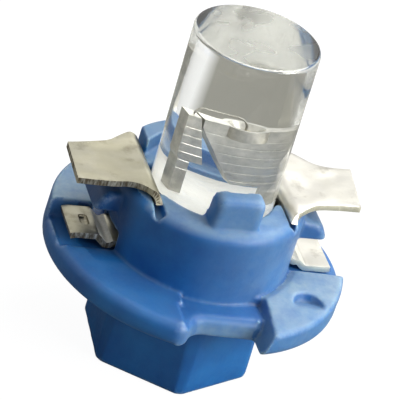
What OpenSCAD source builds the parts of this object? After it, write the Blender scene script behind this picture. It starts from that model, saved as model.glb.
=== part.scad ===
// Twist-lock instrument panel lamp: a clear flat-topped light emitting diode
// in a moulded base with two stamped contacts, and its series resistor inside.
// Millimetres. The origin is the centre of the head's bottom face, +Z runs
// along the lamp's axis, and the contacts lie along X.

/* [Head] */
// Width across the flats of the hexagonal head at its bottom
head_af = 6.3; // [5.4:0.1:7.4]
// Extra width across the flats where the head meets the flange
head_draft = 0.2; // [0:0.1:1.2]
// Diameter over the head's rounded corners at its bottom
head_corner_d = 7.1; // [6.4:0.05:8.6]
// How much smaller that diameter is at the flange
head_corner_taper = 0.3; // [0:0.05:0.6]
// Height of the head below the flange
head_h = 3.8; // [3.4:0.1:5]
// Turn of the head's corners from the contact axis, in degrees
head_turn = 25; // [0:1:60]
// Width of the screwdriver slot across the head
slot_w = 0.9; // [0.6:0.1:1.2]
// Depth of the screwdriver slot
slot_depth = 0.7; // [0.4:0.1:0.9]
// Length of the screwdriver slot
slot_len = 4.4; // [3:0.1:5]
// Thickness of the floor above the screwdriver slot
floor_t = 0.5; // [0.4:0.1:0.8]

/* [Flange] */
// Diameter of the flange
flange_d = 12.2; // [11:0.1:15]
// Thickness of the flange
flange_t = 1.05; // [0.9:0.05:1.6]
// Rounding of the flange's upper edge
flange_edge_r = 0.4; // [0.1:0.05:0.5]
// Slope of the flange's lower edge
flange_foot = 0.4; // [0.1:0.05:0.5]
// Width of the two notches in the flange
notch_w = 3.2; // [2.4:0.1:4]
// How far the sloped lip in each notch reaches out from the barrel
notch_lip = 0.95; // [0.6:0.05:1.2]
// Slit between the lip and the flange on the notch's one side
notch_slit = 0.22; // [0.15:0.01:0.4]
// Height of the two board pads above the flange
pad_h = 0.5; // [0.3:0.05:0.7]
// Gap between the barrel and each pad
pad_gap = 0.55; // [0.4:0.05:0.9]
// Distance of each pad's straight end from the contact axis
pad_side = 1.5; // [1.2:0.05:2]
// Angle of each pad's far end from the contact axis, in degrees
pad_sweep = 44; // [35:1:55]

/* [Barrel] */
// Diameter of the barrel, which enters the board's hole
barrel_d = 7.6; // [7.4:0.1:9.2]
// Height of the barrel above the flange
barrel_h = 2.95; // [2.6:0.05:4]
// Rounding of the barrel's upper edge
barrel_edge_r = 0.55; // [0.2:0.05:0.6]
// Fillet at the foot of the barrel
barrel_foot_r = 0.25; // [0.1:0.05:0.35]
// Radial thickness of the raised wall behind the diode
back_wall_t = 0.8; // [0.5:0.05:0.9]
// Height of the raised wall above the barrel
back_wall_h = 0.6; // [0.3:0.05:1]
// Width of the block in front of the diode
nub_w = 2.05; // [1.6:0.05:2.4]
// Height of the block above the barrel
nub_h = 1.3; // [0.8:0.05:1.6]
// Depth of the block from the diode outwards
nub_depth = 0.75; // [0.5:0.05:0.9]
// Reach of the rib over each lower tab from the lamp's axis
rib_reach = 4.6; // [4.3:0.05:4.9]
// Width of each rib
rib_w = 2.4; // [2.0:0.1:2.8]
// Depth of each rib's top below the barrel's top
rib_drop = 1.2; // [0.9:0.05:1.4]

/* [Contacts] */
// Thickness of the contact strip
strip_t = 0.25; // [0.2:0.01:0.3]
// Reach of each wing from the lamp's axis
wing_reach = 5.95; // [5.4:0.05:7.4]
// Width of each wing at its tip
wing_w = 3.0; // [2.4:0.1:3.4]
// Height of the wings' underside above the barrel
wing_lift = 0.15; // [0.05:0.05:0.3]
// Width of each contact beside the diode
root_w = 5.4; // [4.6:0.1:5.6]
// Distance from the axis at which the wing starts to flare
flare_start = 4.0; // [3.9:0.05:4.6]
// Radius of the hollow curve that widens the wing towards its root
flare_r = 1.1; // [0.9:0.05:1.1]
// Inner radius of the fold beside the diode
fold_r = 0.08; // [0.05:0.01:0.2]
// Depth of the folded inner edge below the barrel's top
fold_depth = 0.35; // [0.2:0.05:0.6]
// Width of the staking mark pressed into each wing's root
stake_w = 1.1; // [0.8:0.05:1.4]
// Length of the staking mark along the wing
stake_len = 0.6; // [0.4:0.05:0.7]
// Depth of the staking mark
stake_depth = 0.1; // [0.05:0.01:0.12]
// Width of the leg that runs down inside the barrel
leg_w = 2.2; // [1.6:0.1:2.6]
// Reach of each lower tab from the lamp's axis
tab_reach = 5.6; // [5.2:0.05:7]
// Width of each lower tab
tab_w = 1.8; // [1.2:0.1:2]
// Height of each lower tab's foot above the flange
tab_lift = 0.08; // [0.08:0.01:0.25]
// Rise of the left lower tab's outer plate above its foot
tab_rise = 0.34; // [0.2:0.02:0.5]
// Rise of the right lower tab's outer plate, which is bent down onto the flange
tab_rise_right = 0.08; // [0.04:0.02:0.5]
// Length of the window through the tab at its bend
tab_window = 0.5; // [0.3:0.05:0.7]
// Clearance between a contact and the slot it sits in
strip_clear = 0.04; // [0.02:0.01:0.06]

/* [Diode] */
// Diameter of the diode's clear body
led_d = 5.0; // [4.6:0.1:5.2]
// Length of the diode's clear body
led_len = 6.7; // [6:0.1:9]
// Depth of the diode's foot below the barrel's top
led_seat = 0.15; // [0.1:0.05:0.4]
// Rounding of the diode's upper edge
led_edge_r = 0.2; // [0.1:0.05:0.4]
// Clearance between the diode and its bore
led_clear = 0.05; // [0.03:0.01:0.08]
// Spacing of the diode's legs
leg_pitch = 2.54; // [2.3:0.02:2.7]
// Thickness and width of the diode's legs
leg_t = 0.5; // [0.4:0.05:0.55]
// Depth of the lead frame's top below the diode's top
frame_drop = 3.3; // [3:0.1:4]
// Width across the lead frame's two halves at the top
frame_w = 3.2; // [3:0.05:3.4]
// Height of the anvil that carries the chip
anvil_h = 2.5; // [2.1:0.1:2.8]
// Width of the slanted cut at the anvil's foot
anvil_cut = 1.2; // [0.8:0.05:1.4]
// Width of the post that takes the bond wire, at its top
post_w = 0.55; // [0.5:0.05:0.7]
// Extra width of the post at its foot
post_flare = 0.45; // [0.2:0.05:0.5]
// Height of the post's wide part
post_h = 1.95; // [1.6:0.05:2.1]
// Gap between the anvil and the post at the top
frame_gap = 0.12; // [0.1:0.01:0.3]
// Mouth diameter of the reflector cup in the anvil
cup_d = 0.9; // [0.7:0.05:1]
// Depth of the reflector cup
cup_depth = 0.35; // [0.2:0.05:0.5]
// Width of the chip
die_w = 0.32; // [0.25:0.01:0.4]
// Thickness of the chip
die_t = 0.14; // [0.1:0.01:0.2]
// Diameter of the bond wire
bond_d = 0.06; // [0.04:0.01:0.08]
// Height of the bond wire's loop above the lead frame
bond_rise = 0.35; // [0.2:0.05:0.8]

/* [Resistor] */
// Diameter of the resistor's coated body
res_d = 1.6; // [1.3:0.05:1.7]
// Length of the resistor's coated body
res_len = 3.3; // [2.8:0.05:3.4]
// Thickness of the resistor's coat
res_coat = 0.15; // [0.1:0.01:0.2]
// Length of the resistor's end caps
res_cap_len = 0.7; // [0.5:0.05:0.9]
// Diameter of the resistor's leads
res_lead_d = 0.42; // [0.3:0.02:0.46]
// Bend radius of the resistor's leads
res_bend_r = 0.36; // [0.3:0.02:0.5]
// Gap between the resistor and the cavity's floor
res_stand = 0.7; // [0.6:0.05:0.8]

/* [Hidden] */

$fn = 96;
eps = 0.01;
base_blue = [0.25, 0.45, 0.71];
tin = [0.79, 0.77, 0.66];
silver = [0.82, 0.82, 0.80];
solder_grey = [0.70, 0.71, 0.72];

// Levels along the axis
flange_z = head_h;
deck_z = flange_z + flange_t;
barrel_z = deck_z + barrel_h;
led_z = barrel_z - led_seat;
led_top_z = led_z + led_len;
cavity_z = slot_depth + floor_t;

// Radii and places
flange_r = flange_d / 2;
barrel_r = barrel_d / 2;
led_r = led_d / 2;
bore_r = led_r + led_clear;
ledge_w = 0.4;
cavity_r = bore_r - ledge_w;
pad_r = barrel_r + pad_gap;

// Contact strip: the folded edge stands just outside the diode's bore
fold_x = bore_r + 0.04;
wing_z = barrel_z + wing_lift;
fold_z = barrel_z - fold_depth;
wing_top_z = wing_z + strip_t;
leg_x = fold_x + strip_t;
tab_z = deck_z + tab_lift;
rib_z = tab_z + max(tab_rise, tab_rise_right) + strip_t + 0.1;
lug_w = 0.9;
lug_z = deck_z + 0.35;
lug_x = leg_pitch / 2 + leg_t / 2;

// Diode lead frame
frame_top_z = led_top_z - frame_drop;
anvil_z = frame_top_z - anvil_h;
post_z = frame_top_z - post_h;
post_x = -frame_w / 2;
anvil_x = post_x + post_w + frame_gap;
anvil_end_x = frame_w / 2;
cup_x = (anvil_x + anvil_end_x) / 2;
post_leg_z = lug_z + strip_t + 0.35;

// Resistor, upright in the cavity
res_z = cavity_z + res_stand;
res_top_z = res_z + res_len;
res_r = res_d / 2;
core_r = res_r - res_coat - 0.15;
lead_r = res_lead_d / 2;
lead_x = lug_x - lead_r;
lead_top_z = lug_z + strip_t;
over_z = post_leg_z + leg_t / 2 + 0.05;
under_z = res_z - lead_r - 0.1;

// Points on an arc about [cx, cy], from angle a0 to a1 in n steps
function arc(cx, cy, r, a0, a1, n) =
    [for (i = [0:n]) let (a = a0 + (a1 - a0) * i / n) [cx + r * cos(a), cy + r * sin(a)]];

// One side of a strip that follows points p, at distance d to the left
function side(p, d) = [for (i = [0:len(p) - 1])
    let (a = p[max(i - 1, 0)], b = p[i], c = p[min(i + 1, len(p) - 1)],
         u = (i > 0) ? (b - a) / norm(b - a) : (c - b) / norm(c - b),
         v = (i < len(p) - 1) ? (c - b) / norm(c - b) : u,
         m = (u + v) / norm(u + v),
         k = d / max(0.5, m * v))
    b + k * [-m[1], m[0]]];

function reversed(p) = [for (i = [len(p) - 1:-1:0]) p[i]];

// A strip of thickness t along points p in the XZ plane, w wide across Y
module strip(p, t, w) {
    rotate([90, 0, 0])
        translate([0, 0, -w / 2])
            linear_extrude(w) polygon(concat(side(p, t / 2), reversed(side(p, -t / 2))));
}

// Both copies of something that repeats half a turn away
module twofold() {
    children();
    rotate(180) children();
}

// ---------------------------------------------------------------- base

// Hexagonal head with drafted flats, corners rounded more towards the flange,
// and a screwdriver slot
module head() {
    top_af = head_af + head_draft;
    difference() {
        intersection() {
            cylinder(d = top_af / cos(30), h = head_h + eps, $fn = 6);
            translate([0, 0, -eps])
                cylinder(d1 = head_corner_d, d2 = head_corner_d - head_corner_taper,
                         h = head_h + 3 * eps);
        }
        for (i = [0:5])
            rotate(30 + 60 * i)
                translate([head_af / 2, -top_af, 0])
                    rotate([0, atan(head_draft / 2 / head_h), 0])
                        translate([0, 0, -1]) cube([2, 2 * top_af, head_h + 2]);
        rotate(30) translate([-slot_len / 2, -slot_w / 2, -eps])
            cube([slot_len, slot_w, slot_depth + eps]);
    }
}

// Flange and barrel, turned as one profile
module flange_and_barrel() {
    rotate_extrude()
        polygon(concat(
            [[0, flange_z], [flange_r - flange_foot, flange_z], [flange_r, flange_z + flange_foot]],
            arc(flange_r - flange_edge_r, deck_z - flange_edge_r, flange_edge_r, 0, 90, 6),
            arc(barrel_r + barrel_foot_r, deck_z + barrel_foot_r, barrel_foot_r, 270, 180, 5),
            arc(barrel_r - barrel_edge_r, barrel_z - barrel_edge_r, barrel_edge_r, 0, 90, 7),
            [[0, barrel_z]]));
}

// One raised pad that the board lies on, between a straight end beside the
// lower tab and a radial end
module pad() {
    far = 2 * flange_r;
    translate([0, 0, deck_z - eps])
        intersection() {
            difference() {
                union() {
                    cylinder(r = flange_r, h = pad_h - 0.15 + eps);
                    translate([0, 0, pad_h - 0.15 + eps])
                        cylinder(r1 = flange_r, r2 = flange_r - 0.15, h = 0.15);
                }
                translate([0, 0, -eps]) cylinder(r = pad_r, h = pad_h + 3 * eps);
            }
            linear_extrude(pad_h + 2 * eps)
                polygon([[pad_side / tan(pad_sweep), -pad_side], [far, -pad_side],
                         [far, -far], [far / tan(pad_sweep), -far]]);
        }
}

// Cut for one flange notch
module notch() {
    translate([-notch_w / 2, -flange_r - 1, flange_z - 1])
        cube([notch_w, flange_r + 1 - barrel_r * cos(asin(notch_w / barrel_d)), flange_t + 1 + eps]);
}

// Sloped lip that closes the inner side of one notch
module notch_lip_body() {
    y_in = -barrel_r + 0.9;
    lip_w = notch_w - notch_slit;
    difference() {
        translate([-notch_w / 2 - eps, 0, 0])
            rotate([90, 0, 90])
                linear_extrude(lip_w)
                    polygon(concat([[y_in, flange_z], [-barrel_r - notch_lip + 0.2, flange_z]],
                        arc(-barrel_r - notch_lip + 0.2, flange_z + 0.2, 0.2, 270, 200, 4),
                        arc(-barrel_r - 0.05, deck_z - 0.35, 0.35, 150, 90, 5),
                        [[y_in, deck_z]]));
        translate([notch_w / 2 - notch_slit - 0.3, -barrel_r - notch_lip - eps, flange_z - eps])
            difference() {
                cube([0.4, 0.3, flange_t + 1]);
                translate([-eps, 0.3, -eps]) cylinder(r = 0.3, h = flange_t + 2, $fn = 32);
            }
    }
}

// Raised wall round the diode's back, between the two contacts
module back_wall() {
    gap = fold_x - 0.1;
    difference() {
        translate([0, 0, barrel_z - barrel_edge_r - eps])
            cylinder(r = barrel_r, h = back_wall_h + barrel_edge_r + eps);
        translate([0, 0, barrel_z - 1]) cylinder(r = barrel_r - back_wall_t, h = back_wall_h + 2);
        translate([-barrel_d, -2 * barrel_d, barrel_z - 1])
            cube([2 * barrel_d, 2 * barrel_d + 1.2, back_wall_h + 2]);
        for (s = [0, 1])
            mirror([s, 0, 0]) translate([gap, -barrel_d, barrel_z - 1])
                cube([barrel_d, 2 * barrel_d, back_wall_h + 2]);
    }
}

// Block in front of the diode
module nub() {
    edge = 0.2;
    y_out = -bore_r - nub_depth;
    translate([0, 0, barrel_z - 0.3])
        linear_extrude(nub_h + 0.3 - edge)
            polygon([[-nub_w / 2, y_out + edge], [-nub_w / 2 + edge, y_out],
                     [nub_w / 2 - edge, y_out], [nub_w / 2, y_out + edge],
                     [nub_w / 2, -led_r * 0.6], [-nub_w / 2, -led_r * 0.6]]);
    translate([-nub_w / 2 + edge, y_out + edge, barrel_z + nub_h - edge - eps])
        cube([nub_w - 2 * edge, nub_depth, edge + eps]);
}

// Rib on the barrel's side, over one lower tab
module rib() {
    top_z = barrel_z - rib_drop;
    edge = 0.2;
    intersection() {
        union() {
            translate([0, 0, rib_z]) cylinder(r = rib_reach, h = top_z - rib_z - edge);
            translate([0, 0, top_z - edge])
                cylinder(r1 = rib_reach, r2 = rib_reach - edge, h = edge);
        }
        translate([bore_r + strip_t + 0.3, -rib_w / 2, 0]) cube([barrel_d, rib_w, barrel_z]);
    }
}

// Slots for one contact: fold groove, leg slot that opens into the cavity,
// and window for the lower tab
module contact_slots() {
    c = strip_clear;
    translate([fold_x - c, -root_w / 2 - c, fold_z - c])
        cube([strip_t + 2 * c, root_w + 2 * c, fold_depth + 1]);
    translate([cavity_r - 0.5, -leg_w / 2 - c, tab_z - c])
        cube([leg_x + c - cavity_r + 0.5, leg_w + 2 * c, barrel_h]);
    translate([fold_x, -tab_w / 2 - c, tab_z - c])
        cube([barrel_r - fold_x + 0.5, tab_w + 2 * c, rib_z - tab_z + c]);
}

module base_moulding() {
    color(base_blue)
        difference() {
            union() {
                rotate(head_turn) head();
                difference() {
                    flange_and_barrel();
                    twofold() notch();
                }
                twofold() notch_lip_body();
                twofold() pad();
                twofold() rib();
                back_wall();
                nub();
            }
            translate([0, 0, led_z]) cylinder(r = bore_r, h = led_len);
            translate([0, 0, cavity_z]) cylinder(r = cavity_r, h = barrel_z);
            twofold() contact_slots();
        }
}

// ------------------------------------------------------------ contacts

// Outline of the wing seen from above, from the fold to the tip
function wing_half() = let (flare = min(flare_r, root_w / 2 - wing_w / 2 - 0.05),
    lean = acos(min(1, (flare_start - leg_x - fold_r - 0.06) / flare))) concat(
    [[leg_x + fold_r, root_w / 2]],
    arc(flare_start, wing_w / 2 + flare, flare, 180 + lean, 270, 7),
    [[wing_reach - 0.2, wing_w / 2], [wing_reach, wing_w / 2 - 0.2]]);

module wing() {
    half = wing_half();
    translate([0, 0, wing_z])
        linear_extrude(strip_t)
            polygon(concat(half, [for (p = reversed(half)) [p[0], -p[1]]]));
}

// Line of the folded edge in the XZ plane, from the wing over the bend
function fold_line() = concat(
    [[leg_x + fold_r + 0.1, wing_z + strip_t / 2]],
    arc(leg_x + fold_r, wing_z - fold_r, fold_r + strip_t / 2, 90, 180, 6),
    [[fold_x + strip_t / 2, fold_z]]);

// Line of the leg and lower tab in the XZ plane
function tab_line(rise) = let (x = fold_x + strip_t / 2, z = tab_z + strip_t / 2, r = 0.25) concat(
    [[x, fold_z + 0.1]],
    arc(x + r, z + tab_rise * 0.5 + r, r, 180, 270, 4),
    [[barrel_r + 0.15, z + tab_rise * 0.5], [barrel_r + 0.5, z],
     [barrel_r + 0.72, z + 0.02], [barrel_r + 1.0, z + rise],
     [tab_reach - 0.35, z + rise], [tab_reach, z + rise * 0.6]]);

module contact(rise) {
    lug_root = fold_x + strip_t / 2;
    difference() {
        union() {
            wing();
            strip(fold_line(), strip_t, root_w);
            difference() {
                strip(tab_line(rise), strip_t, leg_w);
                for (s = [-1, 1])
                    translate([leg_x, s * (tab_w / 2 + 1) - 1, tab_z - 1]) cube([4, 2, 3]);
            }
            translate([lug_x, -lug_w / 2, lug_z]) cube([lug_root - lug_x, lug_w, strip_t]);
        }
        translate([barrel_r + 0.95, -tab_w / 5, tab_z - 1]) cube([tab_window, tab_w * 0.4, 3]);
        translate([leg_x + fold_r + 0.05, -0.3 - stake_w, wing_top_z - stake_depth])
            cube([stake_len, stake_w, 1]);
    }
}

module contact_left() { color(tin) rotate(180) contact(tab_rise); }
module contact_right() { color(tin) contact(tab_rise_right); }

// --------------------------------------------------------------- diode

// A plate of the lead frame from its outline in the XZ plane
module frame_plate(outline) {
    rotate([90, 0, 0]) translate([0, 0, -leg_t / 2]) linear_extrude(leg_t) polygon(outline);
}

// Outline of the anvil and its leg, which is cut on the slant beside the post
function anvil_outline() = let (leg = leg_pitch / 2) [
    [anvil_x, frame_top_z], [anvil_end_x, frame_top_z], [anvil_end_x, anvil_z + 0.3],
    [leg + leg_t / 2, anvil_z + 0.1], [leg + leg_t / 2, lug_z], [leg - leg_t / 2, lug_z],
    [leg - leg_t / 2, anvil_z], [anvil_x + anvil_cut, anvil_z],
    [anvil_x + anvil_cut * 0.4, frame_top_z - anvil_h * 0.45], [anvil_x, frame_top_z - cup_depth]];

// Outline of the post and its leg, wider at the foot than at the top
function post_outline() = let (leg = -leg_pitch / 2) [
    [post_x, frame_top_z], [post_x + post_w, frame_top_z],
    [post_x + post_w + post_flare, post_z], [leg + leg_t / 2, post_z],
    [leg + leg_t / 2, post_leg_z], [leg - leg_t / 2, post_leg_z], [leg - leg_t / 2, post_z],
    [post_x, post_z + 0.15]];

module anvil_shape() {
    difference() {
        union() {
            frame_plate(anvil_outline());
            translate([cup_x, 0, frame_top_z - cup_depth - 0.15])
                cylinder(d = cup_d + 0.25, h = cup_depth + 0.15);
        }
        translate([cup_x, 0, frame_top_z - cup_depth])
            cylinder(d1 = cup_d * 0.6, d2 = cup_d, h = cup_depth + eps);
    }
}

module post_shape() { frame_plate(post_outline()); }

module die_shape() {
    translate([cup_x - die_w / 2, -die_w / 2, frame_top_z - cup_depth]) cube([die_w, die_w, die_t]);
}

// A quarter turn of the bond wire about the origin, from the +X axis up
module bond_bend(r) {
    rotate([90, 0, 0]) rotate_extrude(angle = 90, $fn = 64)
        translate([r, 0]) circle(d = bond_d, $fn = 16);
}

// Bond wire: a low loop from the chip's top to the post's top
module bond_shape() {
    x0 = post_x + post_w - 0.15;
    x1 = cup_x;
    r = min(bond_rise, (x1 - x0) / 2 - 0.05);
    z1 = frame_top_z - cup_depth + die_t;
    translate([x0 + r, 0, frame_top_z]) rotate(180) bond_bend(r);
    translate([x0 + r, 0, frame_top_z + r]) rotate([0, 90, 0])
        cylinder(d = bond_d, h = x1 - x0 - 2 * r, $fn = 16);
    translate([x1 - r, 0, frame_top_z]) bond_bend(r);
    translate([x1, 0, z1]) cylinder(d = bond_d, h = frame_top_z - z1, $fn = 16);
}

module led_lens() {
    color([0.86, 0.88, 0.86, 0.35])
        difference() {
            translate([0, 0, led_z])
                rotate_extrude()
                    polygon(concat([[0, 0], [led_r, 0]],
                        arc(led_r - led_edge_r, led_len - led_edge_r, led_edge_r, 0, 90, 5),
                        [[0, led_len]]));
            anvil_shape();
            post_shape();
            die_shape();
            bond_shape();
        }
}

module led_anvil() { color(silver) anvil_shape(); }
module led_post() { color(silver) post_shape(); }
module led_die() { color([0.85, 0.80, 0.35]) die_shape(); }
module bond_wire() { color([0.90, 0.75, 0.35]) bond_shape(); }

// ------------------------------------------------------------ resistor

module cap_shape(up) {
    z = up ? res_top_z - res_coat - res_cap_len : res_z + res_coat;
    skin = 0.1;
    difference() {
        translate([0, 0, z]) cylinder(r = res_r - res_coat, h = res_cap_len);
        translate([0, 0, up ? z - eps : z + skin]) cylinder(r = core_r, h = res_cap_len - skin + eps);
    }
}

module core_shape() {
    z = res_z + res_coat + 0.1;
    translate([0, 0, z]) cylinder(r = core_r, h = res_len - 2 * res_coat - 0.2);
}

// A lead along the z axis, from height z0 to z1
module lead_up(z0, z1) { translate([0, 0, z0]) cylinder(r = lead_r, h = z1 - z0, $fn = 32); }

// A lead along -X, from the origin over the given length
module lead_across(length) { rotate([0, -90, 0]) cylinder(r = lead_r, h = length, $fn = 32); }

// A quarter bend in the XZ plane that starts upwards at the origin and ends
// along -X
module lead_bend(bend) {
    translate([-bend, 0, 0])
        rotate([90, 0, 0]) rotate_extrude(angle = 90, $fn = 48)
            translate([bend, 0]) circle(r = lead_r, $fn = 32);
}

// Upper lead: up from the cap, over to the diode's post leg
module lead_upper_shape() {
    reach = leg_pitch / 2 - leg_t / 2;
    lead_up(res_top_z - res_coat, over_z - res_bend_r);
    translate([0, 0, over_z - res_bend_r]) lead_bend(res_bend_r);
    translate([-res_bend_r, 0, over_z]) lead_across(reach - res_bend_r);
}

// Lower lead: under the resistor, then up to the left contact's lug
module lead_lower_shape() {
    low_z = under_z + res_bend_r;
    lead_up(low_z, res_z + res_coat);
    translate([0, 0, low_z]) mirror([0, 0, 1]) lead_bend(res_bend_r);
    translate([-res_bend_r, 0, under_z]) lead_across(lead_x - 2 * res_bend_r);
    translate([-lead_x, 0, low_z]) rotate([0, 180, 0]) lead_bend(res_bend_r);
    translate([-lead_x, 0, 0]) lead_up(low_z, lead_top_z);
}

module resistor_core() { color([0.90, 0.89, 0.84]) core_shape(); }
module resistor_coat() {
    color([0.80, 0.72, 0.55])
        difference() {
            translate([0, 0, res_z]) cylinder(r = res_r, h = res_len);
            cap_shape(true);
            cap_shape(false);
            core_shape();
            lead_upper_shape();
            lead_lower_shape();
        }
}
module resistor_cap_upper() { color(silver) cap_shape(true); }
module resistor_cap_lower() { color(silver) cap_shape(false); }
module resistor_lead_upper() { color(silver) lead_upper_shape(); }
module resistor_lead_lower() { color(silver) lead_lower_shape(); }

// -------------------------------------------------------------- solder

// A domed joint on top of a lug, round the lead or leg that meets it
module solder_dome(x, z) {
    translate([x, 0, z])
        intersection() {
            scale([1, 1, 0.9]) sphere(r = 0.42, $fn = 48);
            translate([-1, -1, 0]) cube(2);
        }
}

module solder_left() {
    color(solder_grey)
        difference() {
            solder_dome(-lug_x, lug_z + strip_t);
            lead_lower_shape();
            post_shape();
        }
}

module solder_right() {
    color(solder_grey)
        difference() {
            solder_dome(lug_x, lug_z + strip_t);
            anvil_shape();
        }
}

module solder_resistor() {
    color(solder_grey)
        difference() {
            translate([-leg_pitch / 2 + leg_t / 2, 0, over_z]) sphere(r = 0.36, $fn = 48);
            lead_upper_shape();
            post_shape();
            above_led_foot();
        }
}

// Everything at and above the diode's foot
module above_led_foot() {
    translate([-led_d, -led_d, led_z]) cube([2 * led_d, 2 * led_d, led_len]);
}

base_moulding();
contact_left();
contact_right();
led_lens();
led_anvil();
led_post();
led_die();
bond_wire();
resistor_core();
resistor_coat();
resistor_cap_upper();
resistor_cap_lower();
resistor_lead_upper();
resistor_lead_lower();
solder_left();
solder_right();
solder_resistor();
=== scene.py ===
"""Looks of a twist-lock instrument panel lamp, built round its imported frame.

A clear flat-topped diode stands in a blue moulded base between two stamped,
tinned contacts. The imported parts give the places; this script models the
pieces that show, dresses every piece and sets up the studio.

Shapes are modelled in millimetres and brought to metres when they are done.
"""

import logging
import math
from contextlib import contextmanager
from dataclasses import dataclass, field
from enum import Enum
from typing import Callable, Iterator, Sequence

import bmesh
import bpy
import numpy as np
from mathutils import Matrix, Quaternion, Vector


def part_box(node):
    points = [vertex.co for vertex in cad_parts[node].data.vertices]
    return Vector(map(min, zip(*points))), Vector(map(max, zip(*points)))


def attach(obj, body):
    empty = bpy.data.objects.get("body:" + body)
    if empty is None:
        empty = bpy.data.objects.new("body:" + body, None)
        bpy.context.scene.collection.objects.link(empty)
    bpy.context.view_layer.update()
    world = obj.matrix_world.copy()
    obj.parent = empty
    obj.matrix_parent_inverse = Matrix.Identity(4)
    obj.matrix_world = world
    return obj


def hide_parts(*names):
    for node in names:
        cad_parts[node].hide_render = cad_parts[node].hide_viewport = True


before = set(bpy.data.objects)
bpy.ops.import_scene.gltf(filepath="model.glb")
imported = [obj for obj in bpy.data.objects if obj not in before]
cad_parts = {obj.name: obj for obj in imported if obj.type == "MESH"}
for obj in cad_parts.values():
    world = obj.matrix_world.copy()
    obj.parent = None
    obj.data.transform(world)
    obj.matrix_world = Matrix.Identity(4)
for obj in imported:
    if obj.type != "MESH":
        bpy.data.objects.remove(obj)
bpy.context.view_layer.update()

MM = 0.001
NEAR = 0.01  # a point this close to a face or an edge, in millimetres, lies on it
SAME = 1e-4  # two places this close, in millimetres, are one
FLAT = 0.9  # a face is a flat top if at least this share of its normal is upwards
LOG = logging.getLogger("lamp")

Piece = bpy.types.Object
Material = bpy.types.Material
Socket = bpy.types.NodeSocket
Element = bmesh.types.BMVert | bmesh.types.BMEdge | bmesh.types.BMFace
Colour = tuple[float, float, float]
Point = tuple[float, float, float]
Pair = tuple[float, float]
Test = Callable[[Vector, Element], bool]
Station = tuple[float, float, float, float]


class Pick(Enum):
    """Which elements of a mesh a test selects."""

    POINTS = "VERT"
    EDGES = "EDGE"
    FACES = "FACE"


class Join(Enum):
    """How a tool's solid changes the solid it is used on."""

    ADD = "UNION"
    CUT = "DIFFERENCE"
    KEEP = "INTERSECT"


class Side(Enum):
    """The two contacts, by the sign of X."""

    LEFT = -1
    RIGHT = 1


# ------------------------------------------------------------- modelling


def clear_selection() -> None:
    """Leave nothing selected, in object mode."""
    if bpy.context.mode != "OBJECT":
        bpy.ops.object.mode_set(mode="OBJECT")
    bpy.ops.object.select_all(action="DESELECT")


def focus(piece: Piece) -> None:
    """Make one object the only selected one, and the active one.

    Args:
        piece: the object.
    """
    clear_selection()
    piece.select_set(True)
    bpy.context.view_layer.objects.active = piece


def middle(item: Element) -> Vector:
    """Find the middle of a vertex, an edge or a face of an edit mesh.

    Args:
        item: the element.

    Returns:
        Its middle.
    """
    if isinstance(item, bmesh.types.BMVert):
        return item.co.copy()
    if isinstance(item, bmesh.types.BMEdge):
        return (item.verts[0].co + item.verts[1].co) / 2
    return item.calc_center_median()


@contextmanager
def editing(piece: Piece, pick: Pick, test: Test) -> Iterator[None]:
    """Edit mode with the elements selected that pass a test.

    Args:
        piece: the mesh object to edit.
        pick: whether points, edges or faces are tested.
        test: takes an element's middle and the element, and says if it counts.
    """
    focus(piece)
    bpy.ops.object.mode_set(mode="EDIT")
    bpy.ops.mesh.select_mode(type=pick.value)
    bpy.ops.mesh.select_all(action="DESELECT")
    mesh = bmesh.from_edit_mesh(piece.data)
    groups = {Pick.POINTS: mesh.verts, Pick.EDGES: mesh.edges, Pick.FACES: mesh.faces}
    for item in groups[pick]:
        if test(middle(item), item):
            item.select_set(True)
    mesh.select_flush_mode()
    bmesh.update_edit_mesh(piece.data)
    yield
    bpy.ops.object.mode_set(mode="OBJECT")


def everything(_middle: Vector, _item: Element) -> bool:
    """A test that every element passes."""
    return True


def settle(name: str) -> Piece:
    """Name the new object, and move its place, turn and scale into its mesh.

    Args:
        name: the object's name.

    Returns:
        The object that the last primitive operator added.
    """
    piece = bpy.context.active_object
    piece.name = name
    piece.data.name = name
    bpy.ops.object.transform_apply(location=True, rotation=True, scale=True)
    return piece


def start_cylinder(name: str, radius: float, low: float, high: float, sides: int = 128,
                   turn: float = 0) -> Piece:
    """Add an upright cylinder on the axis, between two heights.

    Args:
        name: the object's name.
        radius: its radius.
        low: height of its foot.
        high: height of its top.
        sides: number of sides.
        turn: turn about its axis, in degrees.

    Returns:
        The cylinder, with its place in its mesh.
    """
    clear_selection()
    bpy.ops.mesh.primitive_cylinder_add(
        vertices=sides, radius=radius, depth=high - low, location=(0, 0, (low + high) / 2),
        rotation=(0, 0, math.radians(turn)))
    return settle(name)


def start_box(name: str, low: Point, high: Point) -> Piece:
    """Add a box between two corners.

    Args:
        name: the object's name.
        low: its lowest corner.
        high: its highest corner.

    Returns:
        The box, with its place in its mesh.
    """
    clear_selection()
    bpy.ops.mesh.primitive_cube_add(size=1, location=[(a + b) / 2 for a, b in zip(low, high)])
    bpy.context.active_object.scale = [b - a for a, b in zip(low, high)]
    return settle(name)


def finish_with(piece: Piece, kind: str, **settings: object) -> None:
    """Add one modifier, set it up and apply it.

    Args:
        piece: the mesh object.
        kind: the modifier's type.
        settings: the modifier's own settings, by name.
    """
    focus(piece)
    modifier = piece.modifiers.new(kind.title(), kind)
    for name, value in settings.items():
        setattr(modifier, name, value)
    bpy.ops.object.modifier_apply(modifier=modifier.name)


def combine(piece: Piece, tool: Piece, join: Join) -> None:
    """Add, cut or keep a tool's solid on a piece, and remove the tool."""
    finish_with(piece, "BOOLEAN", object=tool, operation=join.value, solver="MANIFOLD")
    bpy.data.objects.remove(tool)


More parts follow.
